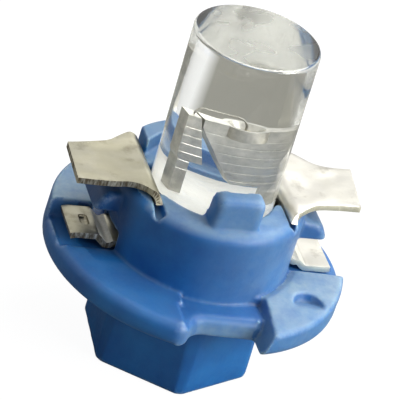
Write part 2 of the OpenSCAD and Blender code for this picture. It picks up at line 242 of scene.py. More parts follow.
def duplicate(piece: Piece, name: str, change: Matrix) -> Piece:
    """Copy a piece with its own mesh, changed by a matrix.

    Args:
        piece: the object to copy.
        name: the copy's name.
        change: what moves, turns or scales the copy's mesh.

    Returns:
        The copy.
    """
    copy = piece.copy()
    copy.data = piece.data.copy()
    copy.name = name
    copy.data.name = name
    copy.data.transform(change)
    bpy.context.scene.collection.objects.link(copy)
    return copy


HALF_TURN = Matrix.Rotation(math.pi, 4, "Z")


def tilted(degrees: float, level: float) -> Matrix:
    """Turn in the XZ plane, about the axis's point at a height."""
    return (Matrix.Translation((0, 0, level)) @ Matrix.Rotation(math.radians(degrees), 4, "Y")
            @ Matrix.Translation((0, 0, -level)))


def combine_twice(piece: Piece, tool: Piece, join: Join) -> None:
    """Use a tool on a piece where it is, and again half a turn round.

    Args:
        piece: the solid to change.
        tool: the tool, which is used up.
        join: what the tool does.
    """
    other = duplicate(tool, tool.name + "_opposite", HALF_TURN)
    combine(piece, tool, join)
    combine(piece, other, join)


def round_edges(piece: Piece, radius: float, steps: int, test: Test) -> None:
    """Bevel the edges that pass a test.

    Args:
        piece: the mesh object.
        radius: width of the bevel.
        steps: number of segments.
        test: says which edges are rounded.
    """
    with editing(piece, Pick.EDGES, test):
        bpy.ops.mesh.bevel(offset=radius, segments=steps, profile=0.5, affect="EDGES")


def shift_edges(piece: Piece, by: Point, test: Test) -> None:
    """Move the edges that pass a test, with whatever hangs on them."""
    with editing(piece, Pick.EDGES, test):
        bpy.ops.transform.translate(value=by)


def soften(piece: Piece, width: float) -> None:
    """Bevel a plate's sharp edges by a modifier, and leave triangles.

    Args:
        piece: the plate.
        width: width of the bevel.
    """
    finish_with(piece, "BEVEL", width=width, segments=2, limit_method="ANGLE",
                angle_limit=math.radians(50))
    finish_with(piece, "TRIANGULATE")


def taper_top(piece: Piece, share: float) -> None:
    """Scale a solid's flat top about its middle, so that its sides slope."""
    with editing(piece, Pick.FACES, lambda mid, face: face.normal.z > FLAT):
        bpy.ops.transform.resize(value=(share, share, 1))


def draw_strip(name: str, line: Sequence[Station], across: int, thickness: float) -> Piece:
    """Draw out a flat strip's end edge along a line, then give the strip its thickness.

    Args:
        name: the strip's name.
        line: X, Z and the two long edges' Y at each step along the middle surface.
        across: number of faces across the strip.
        thickness: its thickness.

    Returns:
        The closed strip.
    """
    clear_selection()
    bpy.ops.mesh.primitive_grid_add(x_subdivisions=1, y_subdivisions=across, size=1)
    strip = settle(name)
    aside = 100  # keeps the end that is in place away from the test for the other
    for end, (x, z, low, high) in ((-0.5, line[0]), (0.5, line[1])):
        with editing(strip, Pick.POINTS, lambda mid, _: abs(mid.x - end) < SAME and mid.z == 0):
            bpy.ops.transform.resize(value=(1, high - low, 1))
            bpy.ops.transform.translate(value=(x - end + aside, (low + high) / 2, z))
    with editing(strip, Pick.POINTS, everything):
        bpy.ops.transform.translate(value=(-aside, 0, 0))
    x, z, low, high = line[1]
    ends: Test = lambda mid, edge: (abs(mid.x - x) < SAME and abs(mid.z - z) < SAME
                                    and edge.is_boundary)
    with editing(strip, Pick.EDGES, ends):
        for next_x, next_z, next_low, next_high in line[2:]:
            shift = (next_low + next_high - low - high) / 2
            bpy.ops.mesh.extrude_edges_move(
                TRANSFORM_OT_translate={"value": (next_x - x, shift, next_z - z)})
            bpy.ops.transform.resize(value=(1, (next_high - next_low) / (high - low), 1))
            x, z, low, high = next_x, next_z, next_low, next_high
    finish_with(strip, "SOLIDIFY", thickness=thickness, offset=0)
    with editing(strip, Pick.FACES, everything):
        bpy.ops.mesh.normals_make_consistent(inside=False)
    return strip


def ramp(value: float, low: float, high: float) -> float:
    """Share of the way from low to high at which a value stands, from 0 to 1."""
    return min(max((value - low) / (high - low), 0), 1)


def to_metres(piece: Piece) -> None:
    """Bring a finished mesh from millimetres to metres."""
    piece.data.transform(Matrix.Scale(MM, 4))
    piece.data.update()


def smooth(piece: Piece, degrees: float = 35) -> None:
    """Shade a piece smooth, apart from edges sharper than an angle."""
    focus(piece)
    bpy.ops.object.shade_smooth_by_angle(angle=math.radians(degrees))


def mark_convexity(piece: Piece, spread: int) -> None:
    """Store how far each point lies on an outer edge, as a point attribute of convexity.

    An outer edge is positive, a hollow one negative, and flat ground zero.

    Args:
        piece: the mesh object, in any unit.
        spread: number of passes that spread the value to neighbours.
    """
    mesh = piece.data
    count = len(mesh.vertices)
    places = np.empty(count * 3, np.float32)
    normals = np.empty(count * 3, np.float32)
    ends = np.empty(len(mesh.edges) * 2, np.int32)
    mesh.vertices.foreach_get("co", places)
    mesh.vertices.foreach_get("normal", normals)
    mesh.edges.foreach_get("vertices", ends)
    places, normals = places.reshape(-1, 3), normals.reshape(-1, 3)
    first, second = ends.reshape(-1, 2).T
    run = places[second] - places[first]
    run /= np.maximum(np.linalg.norm(run, axis=1, keepdims=True), 1e-9)
    both = np.concatenate([first, second])
    lean = np.concatenate([-(normals[first] * run).sum(1), (normals[second] * run).sum(1)])
    links = np.maximum(np.bincount(both, minlength=count), 1)
    value = np.bincount(both, weights=lean, minlength=count) / links
    across = np.concatenate([second, first])
    for _ in range(spread):
        value = (value + np.bincount(both, weights=value[across], minlength=count) / links) / 2
    store = mesh.attributes.new("convexity", "FLOAT", "POINT")
    store.data.foreach_set("value", value.astype(np.float32))


def place_piece(piece: Piece, material: Material, nodes: Sequence[str]) -> None:
    """Dress a finished piece and tie it to the frame.

    Args:
        piece: the finished mesh object, in metres.
        material: its finish.
        nodes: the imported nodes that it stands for.
    """
    if not any(piece.data.materials):
        piece.data.materials.clear()
        piece.data.materials.append(material)
        piece.data.polygons.foreach_set("material_index", [0] * len(piece.data.polygons))
    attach(piece, "root")
    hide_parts(*nodes)
    LOG.info("%s: %d faces", piece.name, len(piece.data.polygons))


# ------------------------------------------------------------- materials


class Recipe:
    """Node tree of one material, built step by step, with patterns in millimetres."""

    def __init__(self, name: str) -> None:
        """Start a material with its shader and object coordinates.

        Args:
            name: the material's name.
        """
        self.material = bpy.data.materials.new(name)
        self.material.use_nodes = True
        self.tree = self.material.node_tree
        self.shader = self.tree.nodes["Principled BSDF"]
        self.coordinates = self.add("ShaderNodeTexCoord").outputs["Object"]

    def add(self, kind: str, **settings: object) -> bpy.types.Node:
        """Add a node.

        Args:
            kind: the node's type.
            settings: the node's own settings, by name.

        Returns:
            The node.
        """
        node = self.tree.nodes.new(kind)
        for name, value in settings.items():
            setattr(node, name, value)
        return node

    def link(self, start: Socket, end: Socket) -> None:
        """Join an output to an input."""
        self.tree.links.new(start, end)

    def constants(self, **values: object) -> None:
        """Set the shader's own sockets.

        Args:
            values: the values by name, with an underscore for each space.
        """
        for name, value in values.items():
            socket = self.shader.inputs[name.replace("_", " ")]
            socket.default_value = (*value, 1) if socket.type == "RGBA" else value

    def place(self, stretch: Point = (1, 1, 1), shift: Point = (0, 0, 0)) -> Socket:
        """Object coordinates in millimetres, stretched and shifted.

        Args:
            stretch: how many times finer a pattern is along each axis.
            shift: offset of the pattern.

        Returns:
            The coordinates' socket.
        """
        node = self.add("ShaderNodeMapping")
        node.inputs["Scale"].default_value = [s / MM for s in stretch]
        node.inputs["Location"].default_value = shift
        self.link(self.coordinates, node.inputs["Vector"])
        return node.outputs["Vector"]

    def noise(self, size: float, detail: float = 3, roughness: float = 0.5,
              stretch: Point = (1, 1, 1), shift: Point = (0, 0, 0)) -> Socket:
        """Cloudy pattern.

        Args:
            size: width of its patches in millimetres.
            detail: number of finer layers.
            roughness: strength of the finer layers.
            stretch: how many times finer it is along each axis.
            shift: offset, so that two patterns differ.

        Returns:
            The pattern's value, from 0 to 1.
        """
        node = self.add("ShaderNodeTexNoise")
        node.inputs["Scale"].default_value = 1 / size
        node.inputs["Detail"].default_value = detail
        node.inputs["Roughness"].default_value = roughness
        self.link(self.place(stretch, shift), node.inputs["Vector"])
        return node.outputs["Fac"]

    def remap(self, value: Socket, low: float, high: float,
              out_low: float = 0, out_high: float = 1) -> Socket:
        """Stretch a range of a value to another range, and hold it at the ends.

        Args:
            value: the value.
            low: where the range starts.
            high: where the range ends; it may be below low.
            out_low: result at low.
            out_high: result at high.

        Returns:
            The result's socket.
        """
        node = self.add("ShaderNodeMapRange", clamp=True)
        for name, number in zip(("From Min", "From Max", "To Min", "To Max"),
                                (low, high, out_low, out_high)):
            node.inputs[name].default_value = number
        self.link(value, node.inputs["Value"])
        return node.outputs["Result"]

    def combine(self, operation: str, first: Socket, second: Socket | float) -> Socket:
        """Arithmetic on two values, or on a value and a number.

        Args:
            operation: the sum's name in the shader editor.
            first: a value.
            second: a value or a number.

        Returns:
            The result's socket.
        """
        node = self.add("ShaderNodeMath", operation=operation)
        self.link(first, node.inputs[0])
        if isinstance(second, Socket):
            self.link(second, node.inputs[1])
        else:
            node.inputs[1].default_value = second
        return node.outputs["Value"]

    def blend(self, factor: Socket, first: Socket | Colour, second: Socket | Colour) -> Socket:
        """Blend two colours by a value.

        Args:
            factor: 0 gives the first colour, 1 the second.
            first: colour, or a socket that gives one.
            second: colour, or a socket that gives one.

        Returns:
            The blended colour's socket.
        """
        node = self.add("ShaderNodeMix", data_type="RGBA")
        self.link(factor, node.inputs[0])
        for colour, socket in ((first, node.inputs[6]), (second, node.inputs[7])):
            if isinstance(colour, Socket):
                self.link(colour, socket)
            else:
                socket.default_value = (*colour, 1)
        return node.outputs[2]

    def attribute(self, name: str) -> Socket:
        """Value of an attribute of the piece's own mesh."""
        return self.add("ShaderNodeAttribute", attribute_name=name).outputs["Fac"]

    def along(self, axis: int) -> Socket:
        """Object coordinate along one axis, in millimetres.

        Args:
            axis: 0, 1 or 2 for X, Y or Z.

        Returns:
            The coordinate's socket.
        """
        split = self.add("ShaderNodeSeparateXYZ")
        self.link(self.place(), split.inputs["Vector"])
        return split.outputs[axis]

    def relief(self, height: Socket, depth: float, strength: float = 1) -> None:
        """Raise the surface by a pattern, on top of any relief set before.

        Args:
            height: the pattern.
            depth: its height in millimetres.
            strength: how much of it counts.
        """
        node = self.add("ShaderNodeBump")
        node.inputs["Strength"].default_value = strength
        node.inputs["Distance"].default_value = depth * MM
        self.link(height, node.inputs["Height"])
        before = self.shader.inputs["Normal"]
        if before.is_linked:
            self.link(before.links[0].from_socket, node.inputs["Normal"])
        self.link(node.outputs["Normal"], before)

    def use(self, colour: Socket | None = None, roughness: Socket | None = None) -> None:
        """Join a colour, a roughness or both to the shader.

        Args:
            colour: the colour's socket, if it has one.
            roughness: the roughness's socket, if it has one.
        """
        if colour is not None:
            self.link(colour, self.shader.inputs["Base Color"])
        if roughness is not None:
            self.link(roughness, self.shader.inputs["Roughness"])

    def follow(self, pattern: Socket, low: Colour, high: Colour, rough: float,
               smooth: float, span: Pair = (0.35, 0.65)) -> None:
        """Let one pattern give both the colour and the roughness.

        Args:
            pattern: the pattern's value, from 0 to 1.
            low: colour where it is low.
            high: colour where it is high.
            rough: roughness where it is low.
            smooth: roughness where it is high.
            span: values between which the colour changes.
        """
        self.use(self.blend(self.remap(pattern, *span), low, high),
                 self.remap(pattern, 0.3, 0.7, rough, smooth))


@dataclass(frozen=True)
class MouldedPlastic:
    """Satin blue thermoplastic, a little translucent.

    It is pale on its outer edges, partly scuffed and partly a painted highlight;
    it carries painted sheen and painted light where the mesh says so, painted
    shadow under the left wing and painted shade in its hollows.
    grimy in its corners.
    """

    body: Colour = (0.014, 0.165, 0.470)
    deep: Colour = (0.007, 0.105, 0.360)
    # pale colour of the painted sheen and painted light
    painted_light: Colour = (0.31, 0.45, 0.56)
    # pale edge colour: scuffing and a painted highlight
    scuff_and_highlight: Colour = (0.48, 0.66, 0.80)
    # dark navy: painted shadow under the left wing and painted shade in hollows
    painted_shade: Colour = (0.006, 0.030, 0.120)

    def build(self) -> Material:
        """Make the material.

        Returns:
            The material.
        """
        recipe = Recipe("moulded_blue_plastic")
        recipe.constants(IOR=1.5, Subsurface_Weight=0.4, Subsurface_Radius=(0.25, 0.6, 1.0),
                         Subsurface_Scale=0.5 * MM, Specular_IOR_Level=0.5)
        cloud = recipe.noise(2.4, 4, 0.55)
        grain = recipe.noise(0.16, 3, 0.6)
        colour = recipe.blend(recipe.remap(cloud, 0.35, 0.65), self.deep, self.body)
        # painted light from the mesh: sheen on tops and light on lamp-facing sides above zero,
        # painted shadow below
        painted_light = recipe.attribute("painted_light")
        # painted shadow: the ground under the left wing darkens
        colour = recipe.blend(recipe.remap(painted_light, 0, -1, 0, 0.6), colour, self.painted_shade)
        # painted sheen, in patches
        blotch = recipe.remap(recipe.noise(0.9, 6, 0.65, shift=(7, 2, 5)), 0.3, 0.6, 0.45, 0.95)
        painted_sheen = recipe.combine("MULTIPLY", recipe.remap(painted_light, 0, 1), blotch)
        colour = recipe.blend(painted_sheen, colour, self.painted_light)
        # outer edges paler in patches: scuffing and a painted highlight
        convexity = recipe.attribute("convexity")
        patchy = recipe.remap(recipe.noise(0.4, 6, 0.75, shift=(3, 1, 2)), 0.40, 0.60)
        edge = recipe.combine("MULTIPLY", recipe.remap(convexity, 0.035, 0.17), patchy)
        colour = recipe.blend(recipe.combine("MULTIPLY", edge, 0.85), colour, self.scuff_and_highlight)
        # painted shade: hollows darker
        hollow = recipe.remap(convexity, -0.05, -0.25, 0, 0.7)
        colour = recipe.blend(hollow, colour, self.painted_shade)
        shine = recipe.remap(recipe.combine("ADD", grain, cloud), 0.7, 1.3, 0.36, 0.55)
        recipe.use(colour, shine)
        recipe.relief(cloud, 0.05, 0.6)
        recipe.relief(grain, 0.008, 0.7)
        return recipe.material


@dataclass(frozen=True)
class TinnedStrip:
    """Tin-plated spring strip: warm grey metal, darker on its left half by painted shade."""

    plate: Colour = (0.76, 0.74, 0.67)
    darker: Colour = (0.45, 0.425, 0.315)
    stain: Colour = (0.13, 0.105, 0.06)

    def build(self) -> Material:
        """Make the material.

        Returns:
            The material.
        """
        recipe = Recipe("tinned_contact_strip")
        recipe.constants(Metallic=1.0)
        cloud = recipe.noise(1.1, 5, 0.6)
        fine = recipe.noise(0.15, 4, 0.6, shift=(4, 4, 1))
        drawn = recipe.noise(0.12, 3, 0.6, stretch=(0.25, 1.6, 1))
        # painted shade: the left contact is darker than the right one
        side = recipe.remap(recipe.along(0), -2, 3, 0.04, 0.94)
        mixed = recipe.combine("ADD", side, recipe.remap(cloud, 0.35, 0.65, -0.1, 0.1))
        colour = recipe.blend(mixed, self.darker, self.plate)
        smudge = recipe.noise(0.9, 4, 0.6, shift=(9, 3, 2))
        colour = recipe.blend(recipe.remap(smudge, 0.57, 0.72, 0, 0.42), colour, self.stain)
        dirt = recipe.combine("MULTIPLY", recipe.remap(recipe.attribute("convexity"), -0.04, -0.3),
                              recipe.remap(fine, 0.35, 0.6, 0.4, 1))
        colour = recipe.blend(dirt, colour, self.stain)
        recipe.use(colour, recipe.remap(cloud, 0.3, 0.7, 0.46, 0.30))
        recipe.relief(recipe.noise(1.5, 1, 0.3, shift=(1, 8, 3)), 0.25, 0.8)
        recipe.relief(drawn, 0.006, 0.7)
        return recipe.material


@dataclass(frozen=True)
class ShearedEdge:
    """Cut edge of the strip: streaked, dark brown on the left by painted shade, paler on the right
    by painted light.
    """

    dark: Colour = (0.15, 0.125, 0.085)
    light: Colour = (0.98, 0.96, 0.80)

    def build(self) -> Material:
        """Make the material.

        Returns:
            The material.
        """
        recipe = Recipe("sheared_edge")
        recipe.constants(Metallic=1.0)
        streak = recipe.noise(0.16, 3, 0.6, stretch=(1.4, 1, 0.4))
        # painted shade on the left contact's edge, painted light on the right one's
        side = recipe.remap(recipe.along(0), -2, 4.5)
        mixed = recipe.combine("ADD", side, recipe.remap(streak, 0.42, 0.66, 0, 0.5))
        recipe.use(recipe.blend(mixed, self.dark, self.light),
                   recipe.remap(streak, 0.3, 0.7, 0.6, 0.4))
        recipe.relief(streak, 0.03, 0.7)
        return recipe.material


@dataclass(frozen=True)
class ClearEpoxy:
    """Clear, almost colourless cast epoxy with a slightly wavy skin."""

    tint: Colour = (0.93, 0.94, 0.92)

    def build(self) -> Material:
        """Make the material.

        Returns:
            The material.
        """
        recipe = Recipe("clear_epoxy")
        recipe.constants(Base_Color=self.tint, Transmission_Weight=1.0, IOR=1.53, Roughness=0.02)
        recipe.relief(recipe.noise(1.6, 2, 0.5), 0.02, 0.4)
        return recipe.material


@dataclass(frozen=True)
class FrostedTop:
    """Flat top of the clear body: epoxy greyed by painted shade, with a faint, patchy frost."""

    # grey tint: painted shade, darker than the clear body's own tint
    tint: Colour = (0.53, 0.54, 0.49)

    def build(self) -> Material:
        """Make the material.

        Returns:
            The material.
        """
        recipe = Recipe("frosted_epoxy")
        recipe.constants(Base_Color=self.tint, Transmission_Weight=0.96, IOR=1.53)
        cloud = recipe.noise(1.2, 1, 0.5, shift=(2, 5, 1))
        recipe.use(roughness=recipe.remap(cloud, 0.4, 0.62, 0.1, 0.32))
        recipe.relief(cloud, 0.05, 0.45)
        return recipe.material


@dataclass(frozen=True)
class MilkyFoot:
    """Cloudy cast foot of the diode's clear body."""

    light: Colour = (1.0, 0.99, 0.94)
    dark: Colour = (0.88, 0.90, 0.90)

    def build(self) -> Material:
        """Make the material.

        Returns:
            The material.
        """
        recipe = Recipe("milky_epoxy")
        cloud = recipe.noise(0.7, 5, 0.65)
        recipe.follow(cloud, self.dark, self.light, 0.25, 0.6, span=(0.30, 0.46))
        recipe.relief(cloud, 0.2, 0.8)
        return recipe.material


@dataclass(frozen=True)
class LeadFrame:
    """Silver-plated lead frame of the diode."""

    plate: Colour = (0.62, 0.605, 0.55)
    darker: Colour = (0.40, 0.395, 0.365)

    def build(self) -> Material:
        """Make the material.

        Returns:
            The material.
        """
        recipe = Recipe("silver_lead_frame")
        recipe.constants(Metallic=1.0)
        cloud = recipe.noise(0.5, 4, 0.6)
        recipe.follow(cloud, self.darker, self.plate, 0.5, 0.36)
        recipe.relief(recipe.noise(0.1, 3, 0.6, stretch=(0.3, 1, 3)), 0.004, 0.5)
        return recipe.material


@dataclass(frozen=True)
class PlainMetal:
    """Small plated, soldered or drawn metal."""

    name: str
    bright: Colour
    darker: Colour
    roughness: float
    patch: float = 0.4

    def build(self) -> Material:
        """Make the material.

        Returns:
            The material.
        """
        recipe = Recipe(self.name)
        recipe.constants(Metallic=1.0)
        cloud = recipe.noise(self.patch, 4, 0.6)
        recipe.follow(cloud, self.darker, self.bright, self.roughness + 0.08,
                      self.roughness - 0.06)
        recipe.relief(cloud, 0.02, 0.5)
        return recipe.material


@dataclass(frozen=True)
class FiredBody:
    """Matt ceramic, lacquer or chip: a grained solid colour."""

    name: str
    light: Colour
    dark: Colour
    roughness: float
    grain: float = 0.15

    def build(self) -> Material:
        """Make the material.

        Returns:
            The material.
        """
        recipe = Recipe(self.name)
        speckle = recipe.noise(self.grain, 4, 0.6)
        recipe.follow(speckle, self.dark, self.light, self.roughness + 0.08,
                      self.roughness - 0.08)
        recipe.relief(speckle, 0.01, 0.5)
        return recipe.material


# ---------------------------------------------------------------- pieces


@dataclass(frozen=True)
class Pad:
    """Sizes of a raised pad on the flange, for its place on the right."""

    height: float  # above the flange, at its radial end
    inner: float  # inner radius, at the flange's level
    slope: float  # how far its inner side leans in for each millimetre of height
    side: float  # from the contact's middle line to its straight end
    lean: float  # how much its straight end leans back
    sweep: float  # degrees from the right to its radial end, towards the front
    rise: float  # how much higher it gets for each millimetre towards the tab


@dataclass
class BaseMoulding:
    """The blue base: head, notched flange, pads, ribs, barrel, wall and block.

    Lengths are in millimetres and angles in degrees.
    """

    material: Material
    sides: int = 160
    head_across: float = 6.3
    head_turn: float = 26
    head_height: float = 3.8
    head_corner: float = 3.55
    head_corner_top: float = 3.45
    head_edge: float = 0.12
    flange_height: float = 1.05
    flange_tilt: float = 2
    rim_round: float = 0.4
    foot_round: float = 0.42
    pad_round: float = 0.2
    right_pad: Pad = Pad(height=0.01, inner=4.1, slope=2.2, side=1.3, lean=1, sweep=70, rise=0.11)
    left_pad: Pad = Pad(height=0.75, inner=4.35, slope=0.05, side=1.03, lean=0.1, sweep=44, rise=0)
    crescent_centre: Pair = (3.82, -3.70)
    crescent_height: float = 0.14
    crescent_radius: float = 0.64
    crescent_lean: float = -20
    end_centre: Pair = (-1.945, -5.145)
    end_round: float = 0.6
    end_inset: float = 0.212  # from the end's centre to the corner tool's left side
    hollow_centre: Pair = (-0.55, -5.7)
    hollow_round: float = 0.9
    hollow_start: float = -1.4
    notch_left: float = -1.5
    notch_right: float = 1.38
    notch_slope: float = 0.73
    lip_reach: float = 1.0
    lip_end: float = 1.84
    lip_corner: float = 0.4
    lip_drop: float = 0.16
    lip_ramp: float = 0.6
    lip_round: Pair = (0.37, 0.16)  # above and below
    lip_steps: int = 34
    sharp_inset: float = 0.08
    sharp_round: float = 0.14
    sharp_start: float = 1.92
    sharp_sweep: float = 50
    barrel_radius: float = 3.8
    barrel_height: float = 2.95
    barrel_round: float = 0.5
    barrel_fillet: float = 0.18
    rib_reach: float = 4.85
    rib_foot: float = 6.4
    rib_top: float = 7.45
    rib_ends: Pair = (-1.4, 0.68)
    rib_slope: Point = (-0.38, 0, -0.3)
    rib_round: float = 0.26
    wall: float = 0.8
    wall_height: float = 0.6
    wall_round: float = 0.15
    block_width: float = 2.1
    block_height: float = 1.3
    block_depth: float = 0.75
    block_taper: float = 0.94
    block_lean: Point = (0.1, 0.05, 0)
    block_round: float = 0.32
    bore_radius: float = 2.55
    seat: float = 0.15
    cavity_radius: float = 2.15
    cavity_floor: float = 1.2
    strip: float = 0.25
    fold_width: float = 5.0
    fold_depth: float = 0.35
    leg_width: float = 2.2
    window_half: float = 1.0
    window_top: float = 5.75
    play: float = 0.04
    slot_length: float = 4.4
    slot_width: float = 0.9
    slot_depth: float = 0.7
    upper_level: float = 7  # above it lie the tops of the ribs and the barrel
    voxel: float = 0.07
    most_faces: int = 95000
    deck: float = field(init=False)
    top: float = field(init=False)
    radius: float = field(init=False)

    def __post_init__(self) -> None:
        """Work out the levels, and take the flange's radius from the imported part."""
        self.deck = self.head_height + self.flange_height
        self.top = self.deck + self.barrel_height
        self.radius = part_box("base_moulding")[1].x / MM

    @staticmethod
    def round_ring(body: Piece, radius: float, height: float, amount: float, steps: int) -> None:
        """Round a circular edge.

        Args:
            body: the solid.
            radius: the edge's radius.
            height: the edge's height.
            amount: width of the rounding.
            steps: number of segments.
        """
        def on_ring(mid: Vector, _edge: Element) -> bool:
            """Whether an edge is part of the circle."""
            return abs(mid.z - height) < NEAR and abs(mid.xy.length - radius) < 2 * NEAR
        round_edges(body, amount, steps, on_ring)

    def barrel(self) -> Piece:
        """Barrel with a rounded top edge, from inside the flange up.

        Returns:
            The barrel, before its openings.
        """
        barrel = start_cylinder("base_moulding_look", self.barrel_radius, self.head_height + 0.25,
                                self.top, self.sides)
        self.round_ring(barrel, self.barrel_radius, self.top, self.barrel_round, 7)
        return barrel

    def plate(self) -> Piece:
        """Plain flange, rounded above and below, with a soft foot for the barrel.

        Returns:
            The flange before its pads and notches.
        """
        plate = start_cylinder("flange", self.radius, self.head_height, self.deck, self.sides)
        self.round_ring(plate, self.radius, self.deck, self.rim_round, 6)
        self.round_ring(plate, self.radius, self.head_height, self.foot_round, 4)
        foot = start_cylinder("foot", self.barrel_radius + self.barrel_fillet, self.deck - 0.3,
                              self.deck + self.barrel_fillet)
        taper_top(foot, 0.93)
        combine(plate, foot, Join.ADD)
        return plate

    def head(self) -> Piece:
        """Hexagonal head whose corners are rounded more towards the flange.

        Returns:
            The head, reaching a little into the flange.
        """
        corner = self.head_across / math.cos(math.radians(30)) / 2
        head = start_cylinder("head", corner, 0, self.head_height + 0.2, 6,
                              turn=self.head_turn - 30)
        cone = start_cylinder("cone", self.head_corner, -0.1, self.head_height + 0.3, self.sides)
        taper_top(cone, self.head_corner_top / self.head_corner)
        combine(head, cone, Join.KEEP)
        round_edges(head, self.head_edge, 3, lambda mid, edge: mid.z < NEAR)
        return head

    def notch(self) -> Piece:
        """Tool that opens the front notch, with a sloped wall on its right.

        Returns:
            The tool, which reaches past the flange on every open side.
        """
        front, over = -self.radius - 1, self.deck + 0.5
        notch = start_box("notch", (self.notch_left, front, self.head_height - 0.5),
                          (self.notch_right, -self.barrel_radius + 0.3, over))
        shift_edges(notch, (self.notch_slope, 0, 0),
                    lambda mid, edge: mid.x > self.notch_right - NEAR and mid.z > over - 0.1)
        high = self.deck + 0.35
        slope = start_box("slope", (self.notch_left - 0.05, front, self.deck - 0.25),
                          (self.notch_left + 0.5, -self.barrel_radius - 0.35, high))
        shift_edges(slope, (-self.lip_ramp, 0, 0),
                    lambda mid, edge: mid.x < self.notch_left and mid.z > high - 0.05)
        combine(notch, slope, Join.ADD)
        return notch

    def rim_corner(self) -> Piece:
        """Tool that rounds the flange's end off where the rim turns into the notch.

        Returns:
            The tool: a block less a post with the rim's own roundings.
        """
        x, y = self.end_centre
        low, high = self.head_height - 0.006, self.deck + 0.006
        post = start_cylinder("post", self.end_round, low, high, 64)
        self.round_ring(post, self.end_round, high, self.rim_round, 6)
        self.round_ring(post, self.end_round, low, self.foot_round, 4)
        post.data.transform(Matrix.Translation((x, y, 0)))
        tool = start_box("rim_corner",
                         (x - self.end_inset, -self.radius - 0.6, self.head_height - 1),
                         (x + self.end_round + 0.2, y, self.deck + 1))
        combine(tool, post, Join.CUT)
        return tool

    def lip_front(self, x: float) -> float:
        """Front outline of the lip: in from the rim in an S, straight, and round the end.

        Args:
            x: a place along the lip.

        Returns:
            The outline's Y there.
        """
        (near_x, near_y), (far_x, far_y) = self.end_centre, self.hollow_centre
        if x < self.hollow_start:
            return near_y - math.sqrt((self.end_round - 0.015) ** 2 - (x - near_x) ** 2)
        if x < far_x:
            return far_y + math.sqrt(self.hollow_round ** 2 - (x - far_x) ** 2)
        corner = self.lip_corner
        past = max(x - self.lip_end + corner, 0)
        face = -self.barrel_radius - self.lip_reach
        return face + corner - math.sqrt(max(corner ** 2 - past ** 2, 0))

    def lip(self) -> Piece:
        """Sloped lip that closes the inner side of the front notch.

        Returns:
            The lip, rounded along its front.
        """
        foot, top = self.head_height + 0.013, self.deck - self.lip_drop
        start, back = self.end_centre[0] + 0.04, -self.barrel_radius + 0.87
        line = []
        for i in range(self.lip_steps + 1):
            x = start + (self.lip_end - start) * i / self.lip_steps
            line.append((x, (foot + top) / 2, self.lip_front(x), back))
        lip = draw_strip("lip", line, 1, top - foot)

        def outline(mid: Vector, edge: Element) -> bool:
            """Whether an edge is a sharp one away from the lip's buried sides."""
            return mid.x > start + NEAR and mid.y < back - NEAR and edge.calc_face_angle(0) > 0.5
        above, below = self.lip_round
        round_edges(lip, above, 5, lambda mid, edge: mid.z > top - NEAR and outline(mid, edge))
        round_edges(lip, below, 3, lambda mid, edge: mid.z < foot + NEAR and outline(mid, edge))
        return lip

    def bridge(self) -> Piece:
        """Short wall that joins the lip to the block on its right, near the barrel.

        Returns:
            The wall.
        """
        face, back = -self.barrel_radius - self.lip_reach, -self.barrel_radius + 0.84
        return start_box("bridge", (self.lip_end - 0.42, face + 0.65, self.head_height + 0.021),
                         (self.lip_end + 0.45, back, self.deck - self.lip_drop - 0.35))

    @staticmethod
    def sector(ring: Piece, *cuts: tuple[Point, Point]) -> None:
        """Keep the part of a closed ring on the inner side of planes.

        Args:
            ring: the ring, which is left closed at its new ends.
            cuts: for each plane a point on it and its normal towards what is cut off.
        """
        for place, normal in cuts:
            with editing(ring, Pick.FACES, everything):
                bpy.ops.mesh.bisect(plane_co=place, plane_no=normal, clear_outer=True,
                                    use_fill=True)
        with editing(ring, Pick.FACES, everything):
            bpy.ops.mesh.normals_make_consistent(inside=False)

    def pad(self, sizes: Pad) -> Piece:
        """Raised pad on the right, between an end beside the tab and a radial end.

        Args:
            sizes: the pad's sizes.

        Returns:
            The pad, in its place on the right.
        """
        turn = math.radians(sizes.sweep)
        high = self.deck + sizes.height
        pad = start_cylinder("pad", self.radius, self.deck - 0.45, high, self.sides)
        self.round_ring(pad, self.radius, high, self.pad_round, 4)
        narrow, wide = sizes.inner - sizes.slope, sizes.inner + sizes.slope
        hole = start_cylinder("hole", narrow, self.deck - 1, self.deck + 1, self.sides)
        taper_top(hole, wide / narrow)
        combine(pad, hole, Join.CUT)
        self.sector(pad, ((0, -sizes.side - 0.4 * sizes.lean, high), (0, 1, sizes.lean)),
                    ((0, 0, high), (-math.sin(turn), -math.cos(turn), 0.2)))
        shear = Matrix.Identity(4)
        shear[2][1] = sizes.rise
        shear[2][3] = sizes.rise * self.radius * math.sin(turn)
        pad.data.transform(shear)
        return pad

    def crescent(self) -> Piece:
        """Tool for the crescent hollow in the block on the notch's right.

        Returns:
            The tool, a tilted cylinder.
        """
        tool = start_cylinder("crescent", self.crescent_radius, 0, 1.5, 48)
        place = Vector((*self.crescent_centre, self.deck + self.crescent_height))
        tool.data.transform(Matrix.Translation(place)
                            @ Matrix.Rotation(math.radians(self.crescent_lean), 4, "X"))
        return tool

    def sharp_rim(self) -> Piece:
        """Part of a ring that gives the flange between notch and pad its squarer edge.

        Returns:
            The ring's part, in its place on the right.
        """
        outer, high = self.radius - self.sharp_inset, self.deck + 0.02
        ring = start_cylinder("sharp_rim", outer, self.deck - 0.5, high, self.sides)
        combine(ring, start_cylinder("hole", self.radius - 1, self.deck - 1.5, high + 1,
                                     self.sides), Join.CUT)
        self.round_ring(ring, outer, high, self.sharp_round, 3)
        turn = math.radians(self.sharp_sweep)
        self.sector(ring, ((0, 0, 0), (math.sin(turn), math.cos(turn), 0)),
                    ((self.sharp_start, 0, 0), (-1, 0, 0)))
        return ring

